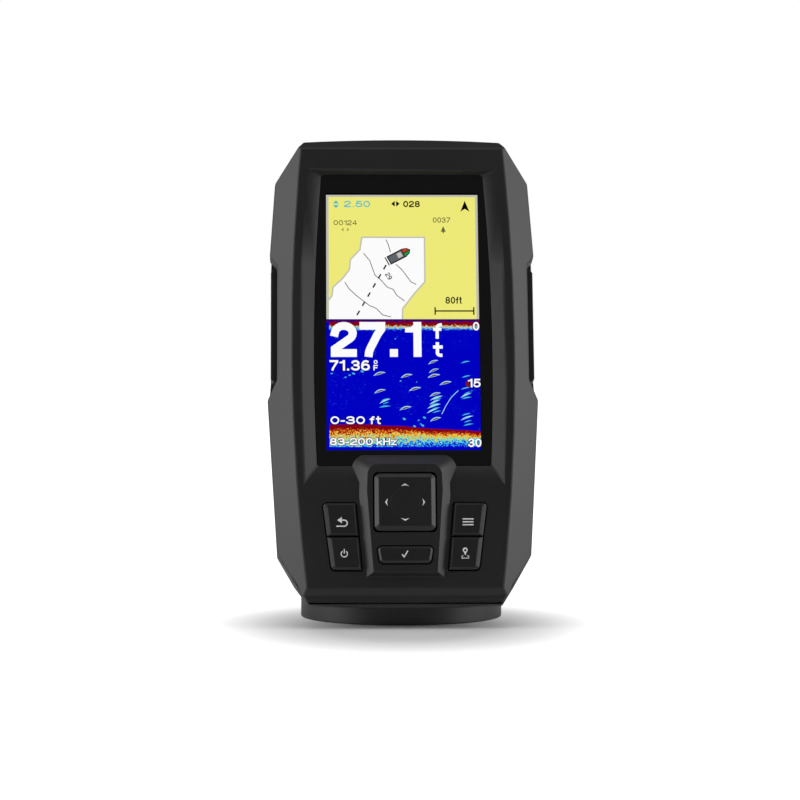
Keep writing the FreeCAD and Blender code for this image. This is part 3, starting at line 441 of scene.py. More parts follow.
# %% [markdown]
# ## Softening the CAD edges
# CAD edges are perfectly sharp, and real plastic never is: the rounding is what catches the light.
# `soften` copies a node's loose triangles, merges them, joins the flat ones, gives every sharp edge a
# weight, and lets a Bevel modifier round it. Weighted normals keep the big faces flat. The result is
# turned into a plain mesh. Places and rounding are in the head's millimetres.

# %% Piece helpers
MERGE, SLIVER = 2e-6, 1e-6
FLAT, BENT, CREASED = math.radians(0.6), math.radians(28), math.radians(35)


def new_object(name, mesh):
    obj = bpy.data.objects.new(name, mesh)
    scene.collection.objects.link(obj)
    return obj


def bake(obj):
    """Replaces an object's mesh with the result of its modifiers, which are then removed."""
    bpy.context.view_layer.update()
    graph = bpy.context.evaluated_depsgraph_get()
    mesh = bpy.data.meshes.new_from_object(obj.evaluated_get(graph))
    obj.modifiers.clear()
    obj.data = mesh


def fit(obj, body, material):
    """Gives a finished piece its material, and fixes it to its body."""
    obj.data.materials.clear()
    obj.data.materials.append(material)
    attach(obj, body)


def slot_of(node):
    return next(row["material_slot"] for row in frame["record"]["subparts"] if row["node"] == node)


def soften(name, node, body, width, segments=3, weigh=None, move=None, cut=None):
    """A rounded copy of a CAD node.

    width is the rounding in millimetres, and weigh(middle) gives an edge's share of it. move(place) gives a
    point's new place, and cut is an object to take away.
    """
    shape = bmesh.new()
    shape.from_mesh(frame["nodes"][node].data)
    bmesh.ops.remove_doubles(shape, verts=shape.verts, dist=MERGE)
    bmesh.ops.dissolve_degenerate(shape, edges=shape.edges, dist=SLIVER)
    bmesh.ops.dissolve_limit(shape, angle_limit=FLAT, verts=shape.verts, edges=shape.edges)
    weights = shape.edges.layers.float.new("bevel_weight_edge")
    to_head = HEAD.inverted()
    for vertex in shape.verts if move else []:
        vertex.co = HEAD @ move(to_head @ vertex.co)
    for edge in shape.edges:
        middle = to_head @ ((edge.verts[0].co + edge.verts[1].co) / 2)
        if edge.calc_face_angle(0) > BENT:
            edge[weights] = weigh(middle) if weigh else 1.0
    mesh = bpy.data.meshes.new(name)
    shape.to_mesh(mesh)
    shape.free()
    obj = new_object(name, mesh)
    bevel = obj.modifiers.new("rounding", "BEVEL")
    bevel.width = width * MM
    bevel.segments = segments
    bevel.limit_method = "WEIGHT"
    bevel.use_clamp_overlap = False
    if cut:
        hollow = obj.modifiers.new("hollow", "BOOLEAN")
        hollow.operation, hollow.object = "DIFFERENCE", cut
    bake(obj)
    obj.data.polygons.foreach_set("use_smooth", [True] * len(obj.data.polygons))
    obj.data.set_sharp_from_angle(angle=CREASED)
    obj.modifiers.new("flats", "WEIGHTED_NORMAL").keep_sharp = True
    bake(obj)
    fit(obj, body, FINISHES[slot_of(node)])
    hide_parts(node)
    print(f"{name}: {len(obj.data.polygons)} faces")


# %% [markdown]
# ## The housings
# The bezel's long outside edges are rounder than the rims of the small key openings, and the edges inside
# the housing are left alone, so its weights depend on the place.

# %% Housing pieces
SEAM_DEPTH, SKIN_DEPTH, SEAT_DEPTH = 15.5, 4.6, 1.5
INSIDE_HALF, KEYS_HALF, WINDOW_HALF = 39.6, 30.5, 33
INSIDE_LOW, INSIDE_TOP, KEYS_TOP = 8.5, 167, 56
FLANGE_DEPTH = 19.5


def bezel_weight(middle):
    """1 on the outside edges, less at the seam, round the keys and the window, none inside."""
    x, depth, height = abs(middle.x), middle.y, middle.z
    if depth > SEAM_DEPTH:
        return 0.25
    if x < INSIDE_HALF and INSIDE_LOW < height < INSIDE_TOP and depth > SKIN_DEPTH:
        return 0.0
    if x < KEYS_HALF and INSIDE_LOW < height < KEYS_TOP:
        return 0.3
    return 0.3 if x < WINDOW_HALF and depth > SEAT_DEPTH else 1.0


def back_weight(middle):
    """Less on the thin flange than on the bulge behind it."""
    return 0.5 if middle.y < FLANGE_DEPTH else 1.0


soften("bezel", "front_housing", "head", 0.7, 3, bezel_weight)
soften("back_shell", "rear_housing", "head", 0.5, 2, back_weight)

# %% [markdown]
# ## The keys
# Each cap has a chamfered crown. On the outer side of the side keys, and all round the arrow pad, the
# chamfer is wider than it is deep, which is what a thumb finds in the dark, so the crown's points are
# drawn in. The pad has a shallow dish in its middle: a flattened ball, taken away by a Boolean modifier.

# %% Key pieces
PAD_CAP, SELECT_CAP, SIDE_CAP = -3.4, -3.3, -1.2
KEY_INSIDE, KEY_DRAWN = 16.3, 0.925
PAD_DRAWN_ACROSS, PAD_DRAWN_UP = 0.945, 0.95
KEY_ROUNDING, PAD_ROUNDING = 0.17, 0.2
DISH, DISH_LIFT = (5.4, 0.3, 5.4), 0.05


def side_crown(place):
    """Draws a side key's crown in from its outer side."""
    if place.y < SIDE_CAP + 0.01:
        inside = math.copysign(KEY_INSIDE, place.x)
        place.x = inside + (place.x - inside) * KEY_DRAWN
    return place


def pad_crown(place):
    """Draws the arrow pad's crown in all round."""
    if place.y < PAD_CAP + 0.01:
        place.x *= PAD_DRAWN_ACROSS
        place.z = PAD_HEIGHT + (place.z - PAD_HEIGHT) * PAD_DRAWN_UP
    return place


for key in ("menu_key", "waypoint_key", "back_key", "power_key"):
    soften(f"{key}_cap", key, key, KEY_ROUNDING, 2, move=side_crown)
soften("select_key_cap", "select_key", "select_key", KEY_ROUNDING, 2)
ball = bmesh.new()
bmesh.ops.create_uvsphere(ball, u_segments=64, v_segments=48, radius=1)
ball_mesh = bpy.data.meshes.new("dish")
ball.to_mesh(ball_mesh)
ball.free()
dish_place = Matrix.Translation((0, PAD_CAP - DISH_LIFT, PAD_HEIGHT))
ball_mesh.transform(HEAD @ dish_place @ Matrix.Diagonal((*DISH, 1)))
dish = new_object("dish", ball_mesh)
soften("arrow_pad_cap", "arrow_pad", "arrow_pad", PAD_ROUNDING, 2, move=pad_crown, cut=dish)
bpy.data.objects.remove(dish)

# %% [markdown]
# ## The mount
# The cradle, yoke, base, bolt and knob are softened in the same way. Only their smallest features limit
# the width.

# %% Mount pieces
soften("cradle_plate", "cradle", "cradle", 0.4, 2)
soften("yoke", "swivel_mount", "swivel", 0.5, 2)
soften("base_disc", "mount_base", "base", 0.5, 3)
soften("bolt", "tilt_bolt", "swivel", 0.3, 2)
soften("lock_nut", "swivel_nut", "base", 0.25, 2)
soften("knob", "tilt_knob", "knob", 0.6, 3)
soften("socket_body", "sonar_socket", "head", 0.25, 2)
soften("breather", "vent_plug", "head", 0.3, 2)

# %% [markdown]
# ## One tree for everything that repeats
# Eight screws, eleven fish and six dashes are each one shape, many times over. A Geometry Nodes tree puts
# a pattern object on every point of a mesh, with a turn and a size drawn between two limits from a fixed
# seed. It ends in Realize Instances, so that the copies are real mesh, and Set Material.

# %% The copies tree
copies = bpy.data.node_groups.new("copies", "GeometryNodeTree")
FIELDS = {
    "Points": "NodeSocketGeometry", "Pattern": "NodeSocketObject", "Least turn": "NodeSocketFloat",
    "Most turn": "NodeSocketFloat", "Least size": "NodeSocketFloat", "Most size": "NodeSocketFloat",
    "Seed": "NodeSocketInt", "Finish": "NodeSocketMaterial",
}
fields = {}
for field, kind in FIELDS.items():
    fields[field] = copies.interface.new_socket(field, in_out="INPUT", socket_type=kind).identifier
copies.interface.new_socket("Mesh", in_out="OUTPUT", socket_type="NodeSocketGeometry")


def geometry_node(kind, sources):
    """A node of the tree, with its inputs linked. Returns its outputs."""
    node = copies.nodes.new(kind)
    for socket, source in sources.items():
        copies.links.new(source, node.inputs[socket])
    return node.outputs


given = geometry_node("NodeGroupInput", {})


def drawn(least, most):
    """A random number for each copy. Sockets 2 and 3 of the node are its limits."""
    limits = {2: given[least], 3: given[most], "Seed": given["Seed"]}
    return geometry_node("FunctionNodeRandomValue", limits)


turn = drawn("Least turn", "Most turn")
size = drawn("Least size", "Most size")
tilt = geometry_node("ShaderNodeCombineXYZ", {"Y": turn[1]})
pattern = geometry_node("GeometryNodeObjectInfo", {"Object": given["Pattern"]})
placed = geometry_node("GeometryNodeInstanceOnPoints", {
    "Points": given["Points"], "Instance": pattern["Geometry"], "Rotation": tilt[0], "Scale": size[1]})
solid = geometry_node("GeometryNodeRealizeInstances", {0: placed[0]})
shaded = geometry_node("GeometryNodeSetMaterial", {"Geometry": solid[0], "Material": given["Finish"]})
geometry_node("NodeGroupOutput", {0: shaded[0]})


def repeated(name, spots, shape, body, material, turn=(0, 0), size=(1, 1), seed=1):
    """Copies of a shape on spots (right, depth, up), all in the head's millimetres."""
    mark = new_object("pattern", shape)
    points = bpy.data.meshes.new(name)
    points.from_pydata(spots, [], [])
    obj = new_object(name, points)
    tree = obj.modifiers.new("copies", "NODES")
    tree.node_group = copies
    wanted = {
        "Pattern": mark, "Least turn": math.radians(turn[0]), "Most turn": math.radians(turn[1]),
        "Least size": size[0], "Most size": size[1], "Seed": seed, "Finish": material,
    }
    for field, value in wanted.items():
        tree[fields[field]] = float(value) if FIELDS[field] == "NodeSocketFloat" else value
    bake(obj)
    bpy.data.objects.remove(mark)
    obj.data.transform(HEAD)
    fit(obj, body, material)
    print(f"{name}: {len(spots)} copies, {len(obj.data.polygons)} faces")
    return obj


print(len(copies.nodes), "nodes in the copies tree")

# %% [markdown]
# ## Case screws
# A pan-head screw is a turned shape with a six-lobed hole in its head. `turned` spins rings of points
# round the depth axis; a ring's lobe makes its radius swing six times on the way round.

# %% Screws
SIDES, LOBES = 36, 6


def turned(name, rings):
    """A closed solid from rings of (radius, depth, lobe), from its tip to the floor of its drive hole."""
    shape = bmesh.new()
    circles = []
    for radius, depth, lobe in rings:
        circle = []
        for i in range(SIDES):
            angle = math.tau * i / SIDES
            reach = radius * (1 + lobe * math.cos(LOBES * angle))
            circle.append(shape.verts.new((reach * math.cos(angle), depth, reach * math.sin(angle))))
        circles.append(circle)
    for one, two in zip(circles, circles[1:]):
        for i in range(SIDES):
            j = (i + 1) % SIDES
            shape.faces.new((one[i], one[j], two[j], two[i]))
    shape.faces.new(circles[0])
    shape.faces.new(circles[-1])
    bmesh.ops.recalc_face_normals(shape, faces=shape.faces)
    mesh = bpy.data.meshes.new(name)
    shape.to_mesh(mesh)
    shape.free()
    return mesh


screw = turned("screw", [
    (0.5, 9.8, 0), (1.25, 10.8, 0), (1.25, 19.05, 0), (2.32, 19.05, 0), (2.4, 19.13, 0), (2.4, 19.5, 0),
    (2.25, 19.95, 0), (1.9, 20.35, 0), (1.4, 20.62, 0), (1.2, 20.66, 0.1), (1.12, 20.6, 0.16),
    (1.05, 19.85, 0.16)])
SCREW_ROWS = [(40.2, 17.8), (43.4, 70), (43, 134.5), (25, 169.6)]
screw_spots = [(side * x, 0, height) for x, height in SCREW_ROWS for side in (1, -1)]
steel = FINISHES["screw_steel"]
screws = repeated("pan_head_screws", screw_spots, screw, "head", steel, (0, 360 / LOBES))
screws.data.set_sharp_from_angle(angle=CREASED)
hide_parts("case_screws")

# %% [markdown]
# ## Figures from strokes
# The display's figures are plain sans-serif, as on any instrument. Each has its width and a few strokes,
# given by their middle lines in a square from 0 to 1, and the 1 has a filled flag too. `bow` gives the
# points of a part of an ellipse.

# %% Characters
GLYPH_GAP = 0.12


def bow(x, z, reach, rise, start, end, steps=14):
    """Points of an ellipse round (x, z), between two angles in degrees."""
    angles = [math.radians(start + (end - start) * i / steps) for i in range(steps + 1)]
    return [(x + reach * math.cos(a), z + rise * math.sin(a)) for a in angles]


GLYPHS = {
    "0": (0.8, [bow(0.5, 0.5, 0.5, 0.5, 90, 450, 28)]),
    "1": (0.5, [[(1, 0), (1, 1)]],
          [(0, 0.7), (0.6, 0.7), (0.6, 1), (0.52, 0.92), (0.36, 0.85), (0, 0.83)]),
    "2": (0.8, [bow(0.5, 0.73, 0.5, 0.27, 176, -46) + [(0, 0.15), (0, 0)], [(0, 0), (1, 0)]]),
    "3": (0.8, [bow(0.48, 0.76, 0.46, 0.24, 160, -90) + [(0.36, 0.52)],
                bow(0.48, 0.26, 0.52, 0.26, -160, 90) + [(0.36, 0.52)]]),
    "4": (0.84, [[(0.72, 0), (0.72, 1), (0, 0.28), (1, 0.28)]]),
    "5": (0.8, [[(0.92, 1), (0.16, 1), (0.07, 0.5)] + bow(0.46, 0.33, 0.54, 0.33, 135, -155)[2:]]),
    "6": (0.8, [bow(0.5, 0.3, 0.5, 0.3, 180, 540, 24), bow(0.55, 0.5, 0.55, 0.5, 62, 180) + [(0, 0.3)]]),
    "7": (0.8, [[(0, 1), (1, 1)],
                [(1, 1), (1, 0.88), (0.78, 0.68), (0.58, 0.42), (0.4, 0.2), (0.31, 0.05), (0.3, 0)]]),
    "8": (0.8, [bow(0.5, 0.75, 0.44, 0.25, -90, 270, 24), bow(0.5, 0.26, 0.5, 0.26, 90, 450, 24)]),
    "9": (0.8, [bow(0.5, 0.7, 0.5, 0.3, 0, 360, 24), bow(0.45, 0.5, 0.55, 0.5, 242, 360) + [(1, 0.7)]]),
    ".": (0.34, [[(0.5, 0), (0.5, 0.001)]]),
    "-": (0.4, [[(0, 0.38), (1, 0.38)]]),
    " ": (0.2, []),
    "f": (0.46, [bow(0.95, 0.72, 0.55, 0.28, 90, 180) + [(0.4, 0)], [(0, 0.64), (0.85, 0.64)]]),
    "t": (0.46, [[(0.4, 1), (0.4, 0.2)] + bow(0.9, 0.2, 0.5, 0.2, 180, 270), [(0, 0.72), (0.95, 0.72)]]),
    "F": (0.6, [[(0, 0), (0, 1), (1, 1)], [(0, 0.5), (0.85, 0.5)]]),
    "k": (0.66, [[(0, 0), (0, 1)], [(0.9, 0.62), (0.2, 0.28)], [(0.4, 0.42), (0.95, 0)]]),
    "H": (0.78, [[(0, 0), (0, 1)], [(1, 0), (1, 1)], [(0, 0.52), (1, 0.52)]]),
    "z": (0.64, [[(0, 0.62), (1, 0.62), (0, 0), (1, 0)]]),
}
print(len(GLYPHS), "characters")

# %% [markdown]
# ## Drawing flat shapes
# Key symbols and the marks on the display are thin slabs. `Drawing` collects them in one mesh: areas,
# lines of one width, arcs and figures.

# %% The drawing board
MITRE_LIMIT = 0.5


class Drawing:
    """Thin closed slabs whose front is at one depth, in the head's millimetres."""

    def __init__(self, depth, thick=0.02):
        self.depth, self.thick, self.shape = depth, thick, bmesh.new()

    def area(self, corners):
        twice = sum(a[0] * b[1] - b[0] * a[1] for a, b in zip(corners, corners[1:] + corners[:1]))
        corners = corners if twice > 0 else corners[::-1]
        front = [self.shape.verts.new((x, self.depth, z)) for x, z in corners]
        back = [self.shape.verts.new((x, self.depth + self.thick, z)) for x, z in corners]
        self.shape.faces.new(front)
        self.shape.faces.new(back[::-1])
        for i, corner in enumerate(front):
            j = (i + 1) % len(front)
            self.shape.faces.new((corner, back[i], back[j], front[j]))

    def box(self, left, low, right, top):
        self.area([(left, low), (right, low), (right, top), (left, top)])

    def line(self, points, width, reach=0.0):
        """A stroke through points, with mitred corners and each free end lengthened by reach."""
        path = [Vector(point) for point in points]
        loop = (path[0] - path[-1]).length < 1e-6
        if not loop:
            path[0] += (path[0] - path[1]).normalized() * reach
            path[-1] += (path[-1] - path[-2]).normalized() * reach
        sides = [[], []]
        for i, here in enumerate(path):
            before = path[i - 1] if i else path[-2 if loop else 0]
            after = path[i + 1] if i + 1 < len(path) else path[1 if loop else -1]
            ways = [way.normalized() for way in (here - before, after - here) if way.length > 1e-6]
            along = sum(ways, Vector((0, 0))).normalized()
            share = max(along.dot(ways[0]), MITRE_LIMIT)
            offset = Vector((-along.y, along.x)) * width / 2 / share
            sides[0].append(tuple(here + offset))
            sides[1].append(tuple(here - offset))
        cuts = [0, len(path) // 2, len(path) - 1] if loop else [0, len(path) - 1]
        for start, end in zip(cuts, cuts[1:]):
            self.area(sides[0][start:end + 1] + sides[1][start:end + 1][::-1])

    def arc(self, x, z, radius, width, start=0, end=360, steps=32):
        """A stroke round a centre. Angles are in degrees, anticlockwise from the right."""
        angles = [math.radians(start + (end - start) * i / steps) for i in range(steps + 1)]
        self.line([(x + radius * math.cos(a), z + radius * math.sin(a)) for a in angles], width)

    def figures(self, words, left, low, right, top, heavy=0.2, turn=0.0):
        """Characters that fill a box, with strokes heavy times as wide as the box is tall."""
        stroke = (top - low) * heavy
        wide = sum(GLYPHS[c][0] + GLYPH_GAP for c in words) - GLYPH_GAP
        scale = (right - left) / wide
        middle = Vector(((left + right) / 2, (low + top) / 2))
        spin = Matrix.Rotation(math.radians(turn), 2)

        def spread(points, x, wide, edge):
            tall = top - low - 2 * edge
            places = [Vector((x + edge + a * wide, low + edge + b * tall)) for a, b in points]
            return [tuple(middle + spin @ (place - middle)) for place in places]

        x = left
        for character in words:
            width, strokes, *flags = GLYPHS[character]
            inner = max(width * scale - stroke, 0.0)
            for path in strokes:
                self.line(spread(path, x, inner, stroke / 2), stroke, stroke / 2)
            for flag in flags:
                self.area(spread(flag, x, width * scale, 0))
            x += (width + GLYPH_GAP) * scale

    def mesh(self, name):
        mesh = bpy.data.meshes.new(name)
        self.shape.to_mesh(mesh)
        self.shape.free()
        return mesh

    def piece(self, name, body, material):
        mesh = self.mesh(name)
        mesh.transform(HEAD)
        print(f"{name}: {len(mesh.polygons)} faces")
        fit(new_object(name, mesh), body, material)


# %% [markdown]
# ## Key symbols
# The symbols are windows in the black paint of translucent caps, so they are pale and a little uneven.
# Each stands a few hundredths of a millimetre proud of its cap, and rides with it.

# %% Symbols
legend = Finish("key_legend", srgb(205, 205, 203), 0.5, Emission_Strength=0.3)
cloudy = legend.noise(0.0007, 3.0)
legend.drive("Base Color", legend.ramp(cloudy, (0.3, srgb(186, 186, 184)), (0.7, srgb(214, 214, 212))))
legend.drive("Emission Color", legend.ramp(cloudy, (0.3, srgb(150, 150, 148)), (0.7, srgb(230, 230, 226))))
SYMBOL_THICK, SYMBOL_PROUD = 0.05, 0.03


def symbol(name, key, cap, draw):
    """A symbol on a key whose cap is at this depth."""
    board = Drawing(cap - SYMBOL_PROUD, SYMBOL_THICK)
    draw(board)
    board.piece(name, key, legend.material)


def back_symbol(board):
    stroke = 0.45
    board.line([(-24.5, 27.9), (-21.7, 27.9)], stroke)
    board.arc(-21.7, 29.0, 1.1, stroke, -90, 90, 16)
    board.line([(-21.7, 30.1), (-22.9, 30.1)], stroke)
    board.area([(-24.2, 30.1), (-22.5, 28.95), (-22.5, 31.25)])


def power_symbol(board):
    stroke = 0.34
    board.arc(-21.7, 17.9, 1.12, stroke, 125, 415, 32)
    board.line([(-21.7, 18.0), (-21.7, 19.7)], stroke)


def menu_symbol(board):
    half = 0.21
    for bar in (28.35, 29.4, 30.45):
        board.box(20.5, bar - half, 24.4, bar + half)


def waypoint_symbol(board):
    board.arc(21.3, 19.2, 0.64, 0.5, -40, 220, 24)
    board.area([(20.57, 19.0), (21.3, 17.2), (22.03, 19.0), (21.3, 18.6)])
    tray = [(20.6, 17.2), (20.1, 17.0), (20.1, 16.25), (22.5, 16.25), (22.5, 17.0), (22.0, 17.2)]
    board.line(tray, 0.26)


def tick_symbol(board):
    board.line([(-1.2, 17.3), (-0.5, 16.35), (0.85, 18.6)], 0.4)


def arrows(board):
    """Four arrowheads round the pad's middle: up and down, then right and left."""
    middle = 36.15
    for side in (1, -1):
        low, tip, notch = (middle + side * step for step in (5.8, 6.8, 6.15))
        board.area([(-1.5, low), (0, tip), (1.5, low), (0, notch)])
        low, tip, notch = (side * step for step in (6.15, 7.15, 6.5))
        board.area([(low, middle - 1.45), (tip, middle), (low, middle + 1.45), (notch, middle)])


symbol("back_mark", "back_key", SIDE_CAP, back_symbol)
symbol("power_mark", "power_key", SIDE_CAP, power_symbol)
symbol("menu_mark", "menu_key", SIDE_CAP, menu_symbol)
symbol("waypoint_mark", "waypoint_key", SIDE_CAP, waypoint_symbol)
symbol("tick_mark", "select_key", SELECT_CAP, tick_symbol)
symbol("arrow_marks", "arrow_pad", PAD_CAP, arrows)

# %% [markdown]
# ## The chart
# The upper half of the display is a chart: yellow land, a white lake with depth contours, the boat and
# its track, two numbered waypoints, a north arrow and a scale bar. Thin layers lie between the lens and
# the panel, the later ones nearer to the eye.

# %% Land and lake
BACKING, FIRST, SECOND, THIRD, FOURTH = 4.31, 4.28, 4.25, 4.22, 4.19
SHORE = [
    (-14.5, 136.3), (7.9, 136.3), (7.9, 119.8), (4.0, 115.3), (-0.3, 109.6), (-0.4, SPLIT), (-26.9, SPLIT),
    (-26.8, 112.6), (-25.5, 114.2), (-25.1, 117.5), (-21.6, 120.8), (-19.1, 124.2), (-18.7, 128.0),
    (-15.2, 131.8)]
BORDER, BEACH = 0.9, 1.1
border = Drawing(BACKING)
border.box(-LIT_HALF, SPLIT, LIT_HALF, LIT_TOP)
border.piece("chart_border", "head", GREY)
land = Drawing(FIRST)
land.box(-LIT_HALF + BORDER, SPLIT, LIT_HALF - BORDER, LIT_TOP - 0.8)
land.piece("chart_land", "head", YELLOW)
beach = Drawing(SECOND)
beach.line(SHORE[7:] + SHORE[:6], BEACH)
beach.piece("chart_shore", "head", GREY)
lake = Drawing(THIRD)
lake.area(SHORE)
lake.piece("chart_lake", "head", WHITE)

# %% Contours and figures
contours = Drawing(FOURTH)
CONTOUR, SCALE_BAR, BRACKET = 0.27, 0.5, 0.26
for depth_line in (
    [(-5.9, 135.7), (-5.1, 133.8), (-4.3, 130.9)],
    [(-2.4, 126.3), (-0.6, 124.7), (1.1, 122.5), (3.1, 119.6), (5.0, 118.7)],
    [(-14.2, 130.5), (-11.9, 127.7), (-10.9, 124.7), (-10, 122.1), (-8.4, 120.9),
     (-5.5, 117.6), (-3.4, 116.8), (-2.2, 114.6), (0.7, 112.4)],
    [(-21.1, 119.6), (-19.5, 117), (-16.8, 114.4), (-14, 112.2), (-12.3, 110.8),
     (-9.6, 109.6), (-7.4, 107.2), (-4.3, 106.4)],
):
    contours.line(depth_line, CONTOUR)
contours.figures("29", -6.3, 120.9, -3.7, 122.7, 0.17, turn=-60)
contours.piece("chart_contours", "head", LINE)
ink = Drawing(THIRD)
ink.area([(23.1, 150.6), (21.5, 146.4), (23.1, 147.5), (24.8, 146.4)])
ink.area([(-3.9, 149.4), (-2.6, 150.5), (-2.6, 148.3)])
ink.area([(-0.8, 149.4), (-2.1, 148.3), (-2.1, 150.5)])
ink.figures("028", 0.5, 148.1, 6.6, 150.5, 0.19)
ink.figures("80ft", 15.6, 111.4, 21.6, 114.0, 0.17)
ink.line([(11.8, 108.65), (25.9, 108.65)], SCALE_BAR)
ink.line([(11.8, 107.2), (11.8, 110.1)], SCALE_BAR)
ink.line([(25.9, 107.2), (25.9, 110.1)], SCALE_BAR)
ink.piece("chart_ink", "head", BLACK)
zoom = Drawing(THIRD)
zoom.area([(-25.3, 149.5), (-24.2, 150.7), (-23.1, 149.5)])
zoom.area([(-25.3, 148.9), (-23.1, 148.9), (-24.2, 147.7)])
zoom.figures("2.50", -21.2, 148.1, -11.7, 150.5, 0.17)
zoom.piece("chart_zoom", "head", CYAN)
marks = Drawing(THIRD)
marks.figures("00124", -25.1, 141.2, -16.5, 143.1, 0.15)
marks.figures("0037", 11.3, 142.2, 17.7, 144.2, 0.15)
marks.area([(15.1, 140.9), (14.2, 138.7), (16.0, 138.7)])
marks.box(14.9, 138.1, 15.3, 138.8)
marks.line([(-21.4, 140.0), (-22.0, 139.5), (-21.4, 139.0)], BRACKET)
marks.line([(-20.2, 140.0), (-19.6, 139.5), (-20.2, 139.0)], BRACKET)
marks.piece("chart_waypoints", "head", OLIVE)

# %% Boat and track
HEADING = Matrix.Rotation(math.radians(28), 2)
BOAT = Vector((-1.2, 129.7))


def afloat(*corners):
    """Corners given along and across the boat, as chart places."""
    return [tuple(BOAT + HEADING @ Vector(corner)) for corner in corners]


HULL, DECKS, SEATS = FOURTH + 0.01, FOURTH - 0.02, FOURTH - 0.05
hull = Drawing(HULL)
hull.area(afloat(
    (-4.3, -1.75), (2.2, -1.75), (3.8, -1.15), (4.7, 0), (3.8, 1.15), (2.2, 1.75), (-4.3, 1.75)))
hull.area(afloat((-5.1, -1.75), (-4.7, -1.75), (-4.7, 1.75), (-5.1, 1.75)))
hull.piece("boat_hull", "head", BLACK)
deck = Drawing(DECKS)
deck.area(afloat((-3.9, -1.3), (1.6, -1.3), (1.6, 1.3), (-3.9, 1.3)))
deck.piece("boat_deck", "head", DECK)
seats = Drawing(SEATS)
seats.area(afloat((-0.6, -0.95), (1.1, -0.95), (1.1, 0.95), (-0.6, 0.95)))
seats.piece("boat_screen", "head", GREY)
port = Drawing(DECKS)
port.area(afloat((1.9, 0.15), (4.2, 0.15), (3.5, 0.95), (1.9, 1.45)))
port.piece("boat_port_bow", "head", RED)
starboard = Drawing(DECKS)
starboard.area(afloat((1.9, -0.15), (4.2, -0.15), (3.5, -0.95), (1.9, -1.45)))
starboard.piece("boat_starboard_bow", "head", GREEN)
START, END, DASHES = Vector((-6.4, 125.2)), Vector((-16.2, 107.9)), 6
dash = Drawing(0)
way = math.degrees(math.atan2(START.y - END.y, START.x - END.x))
dash.box(-0.95, -0.28, 0.95, 0.28)
along = [START.lerp(END, i / (DASHES - 1)) for i in range(DASHES)]
track = [(place.x, FOURTH, place.y) for place in along]
repeated("boat_track", track, dash.mesh("dash"), "head", BLACK, (-way, -way))

# %% [markdown]
# ## The sonar half
# The picture itself is one sheet with the sonar finish. The depth stands over it in big figures, the
# water's temperature under that, and a depth scale down the right-hand edge. The smaller figures have a
# dark rim, so that they can be read over an echo.

# %% Sonar sheet and readings
sheet = Drawing(BACKING)
sheet.box(-LIT_HALF, LIT_LOW, LIT_HALF, SPLIT)
sheet.piece("sonar_sheet", "head", sonar.material)
READINGS = [
    ("0", 25.5, 101.3, 27.8, 104.5), ("15", 23.4, 80.0, 28.0, 83.2), ("30", 23.2, 57.9, 28.0, 61.1),
    ("0-30 ft", -26.4, 66.4, -8.2, 69.3), ("83-200 kHz", -26.7, 58.6, -2.6, 61.3),
    ("71.36", -26.7, 86.3, -12.1, 90.2)]
READING_HEAVY, RIM, RIM_HEAVY = 0.19, 0.22, 0.29
DEPTH_FIGURES = [("2", -26.2, -16.8), ("7", -15.8, -6.4), (".", -4.8, -1.9), ("1", 0.8, 6.7)]
DEPTH_LOW, DEPTH_TOP, DEPTH_HEAVY = 91.4, 104.5, 0.222
rims = Drawing(THIRD)
figures = Drawing(FOURTH)
for words, left, low, right, top in READINGS:
    figures.figures(words, left, low, right, top, READING_HEAVY)
    rims.figures(words, left - RIM, low - RIM, right + RIM, top + RIM, RIM_HEAVY)
for figure, left, right in DEPTH_FIGURES:
    figures.figures(figure, left, DEPTH_LOW, right, DEPTH_TOP, DEPTH_HEAVY)
figures.figures("f", 11.0, 98.2, 14.3, 104.0, 0.2)
figures.figures("t", 10.9, 91.4, 14.5, 96.9, 0.22)
figures.arc(-10.0, 89.5, 0.55, 0.32)
figures.figures("F", -10.8, 86.3, -9.2, 88.4, 0.18)
rims.piece("reading_rims", "head", NAVY)
figures.piece("readings", "head", WHITE)

# %% [markdown]
# ## Fish
# A fish that swims through the beam is nearer in the middle than at either end, so it draws an arch. Each
# is a crescent with a pale edge and a red heart: two patterns on the same points, with the same seed.

# %% Arches and echoes


def crescent(name, length, height, bend, steps=12):
    """A long thin leaf whose middle line is bent upwards."""
    top, low = [], []
    for i in range(steps + 1):
        t = i / steps
        x = (t - 0.5) * length
        middle = bend * (1 - (2 * t - 1) ** 2)
        half = height / 2 * math.sin(math.pi * min(max(t, 0.02), 0.98))
        top.append((x, middle + half))
        low.append((x, middle - half))
    leaf = Drawing(0)
    leaf.area(low + top[::-1])
    return leaf.mesh(name)


def echoes(name, depth, places, leaf, colour, turn, size, seed):
    """Leaves at places (right, up) on the sonar picture."""
    spots = [(x, depth, z) for x, z in places]
    repeated(name, spots, leaf, "head", colour, turn, size, seed)


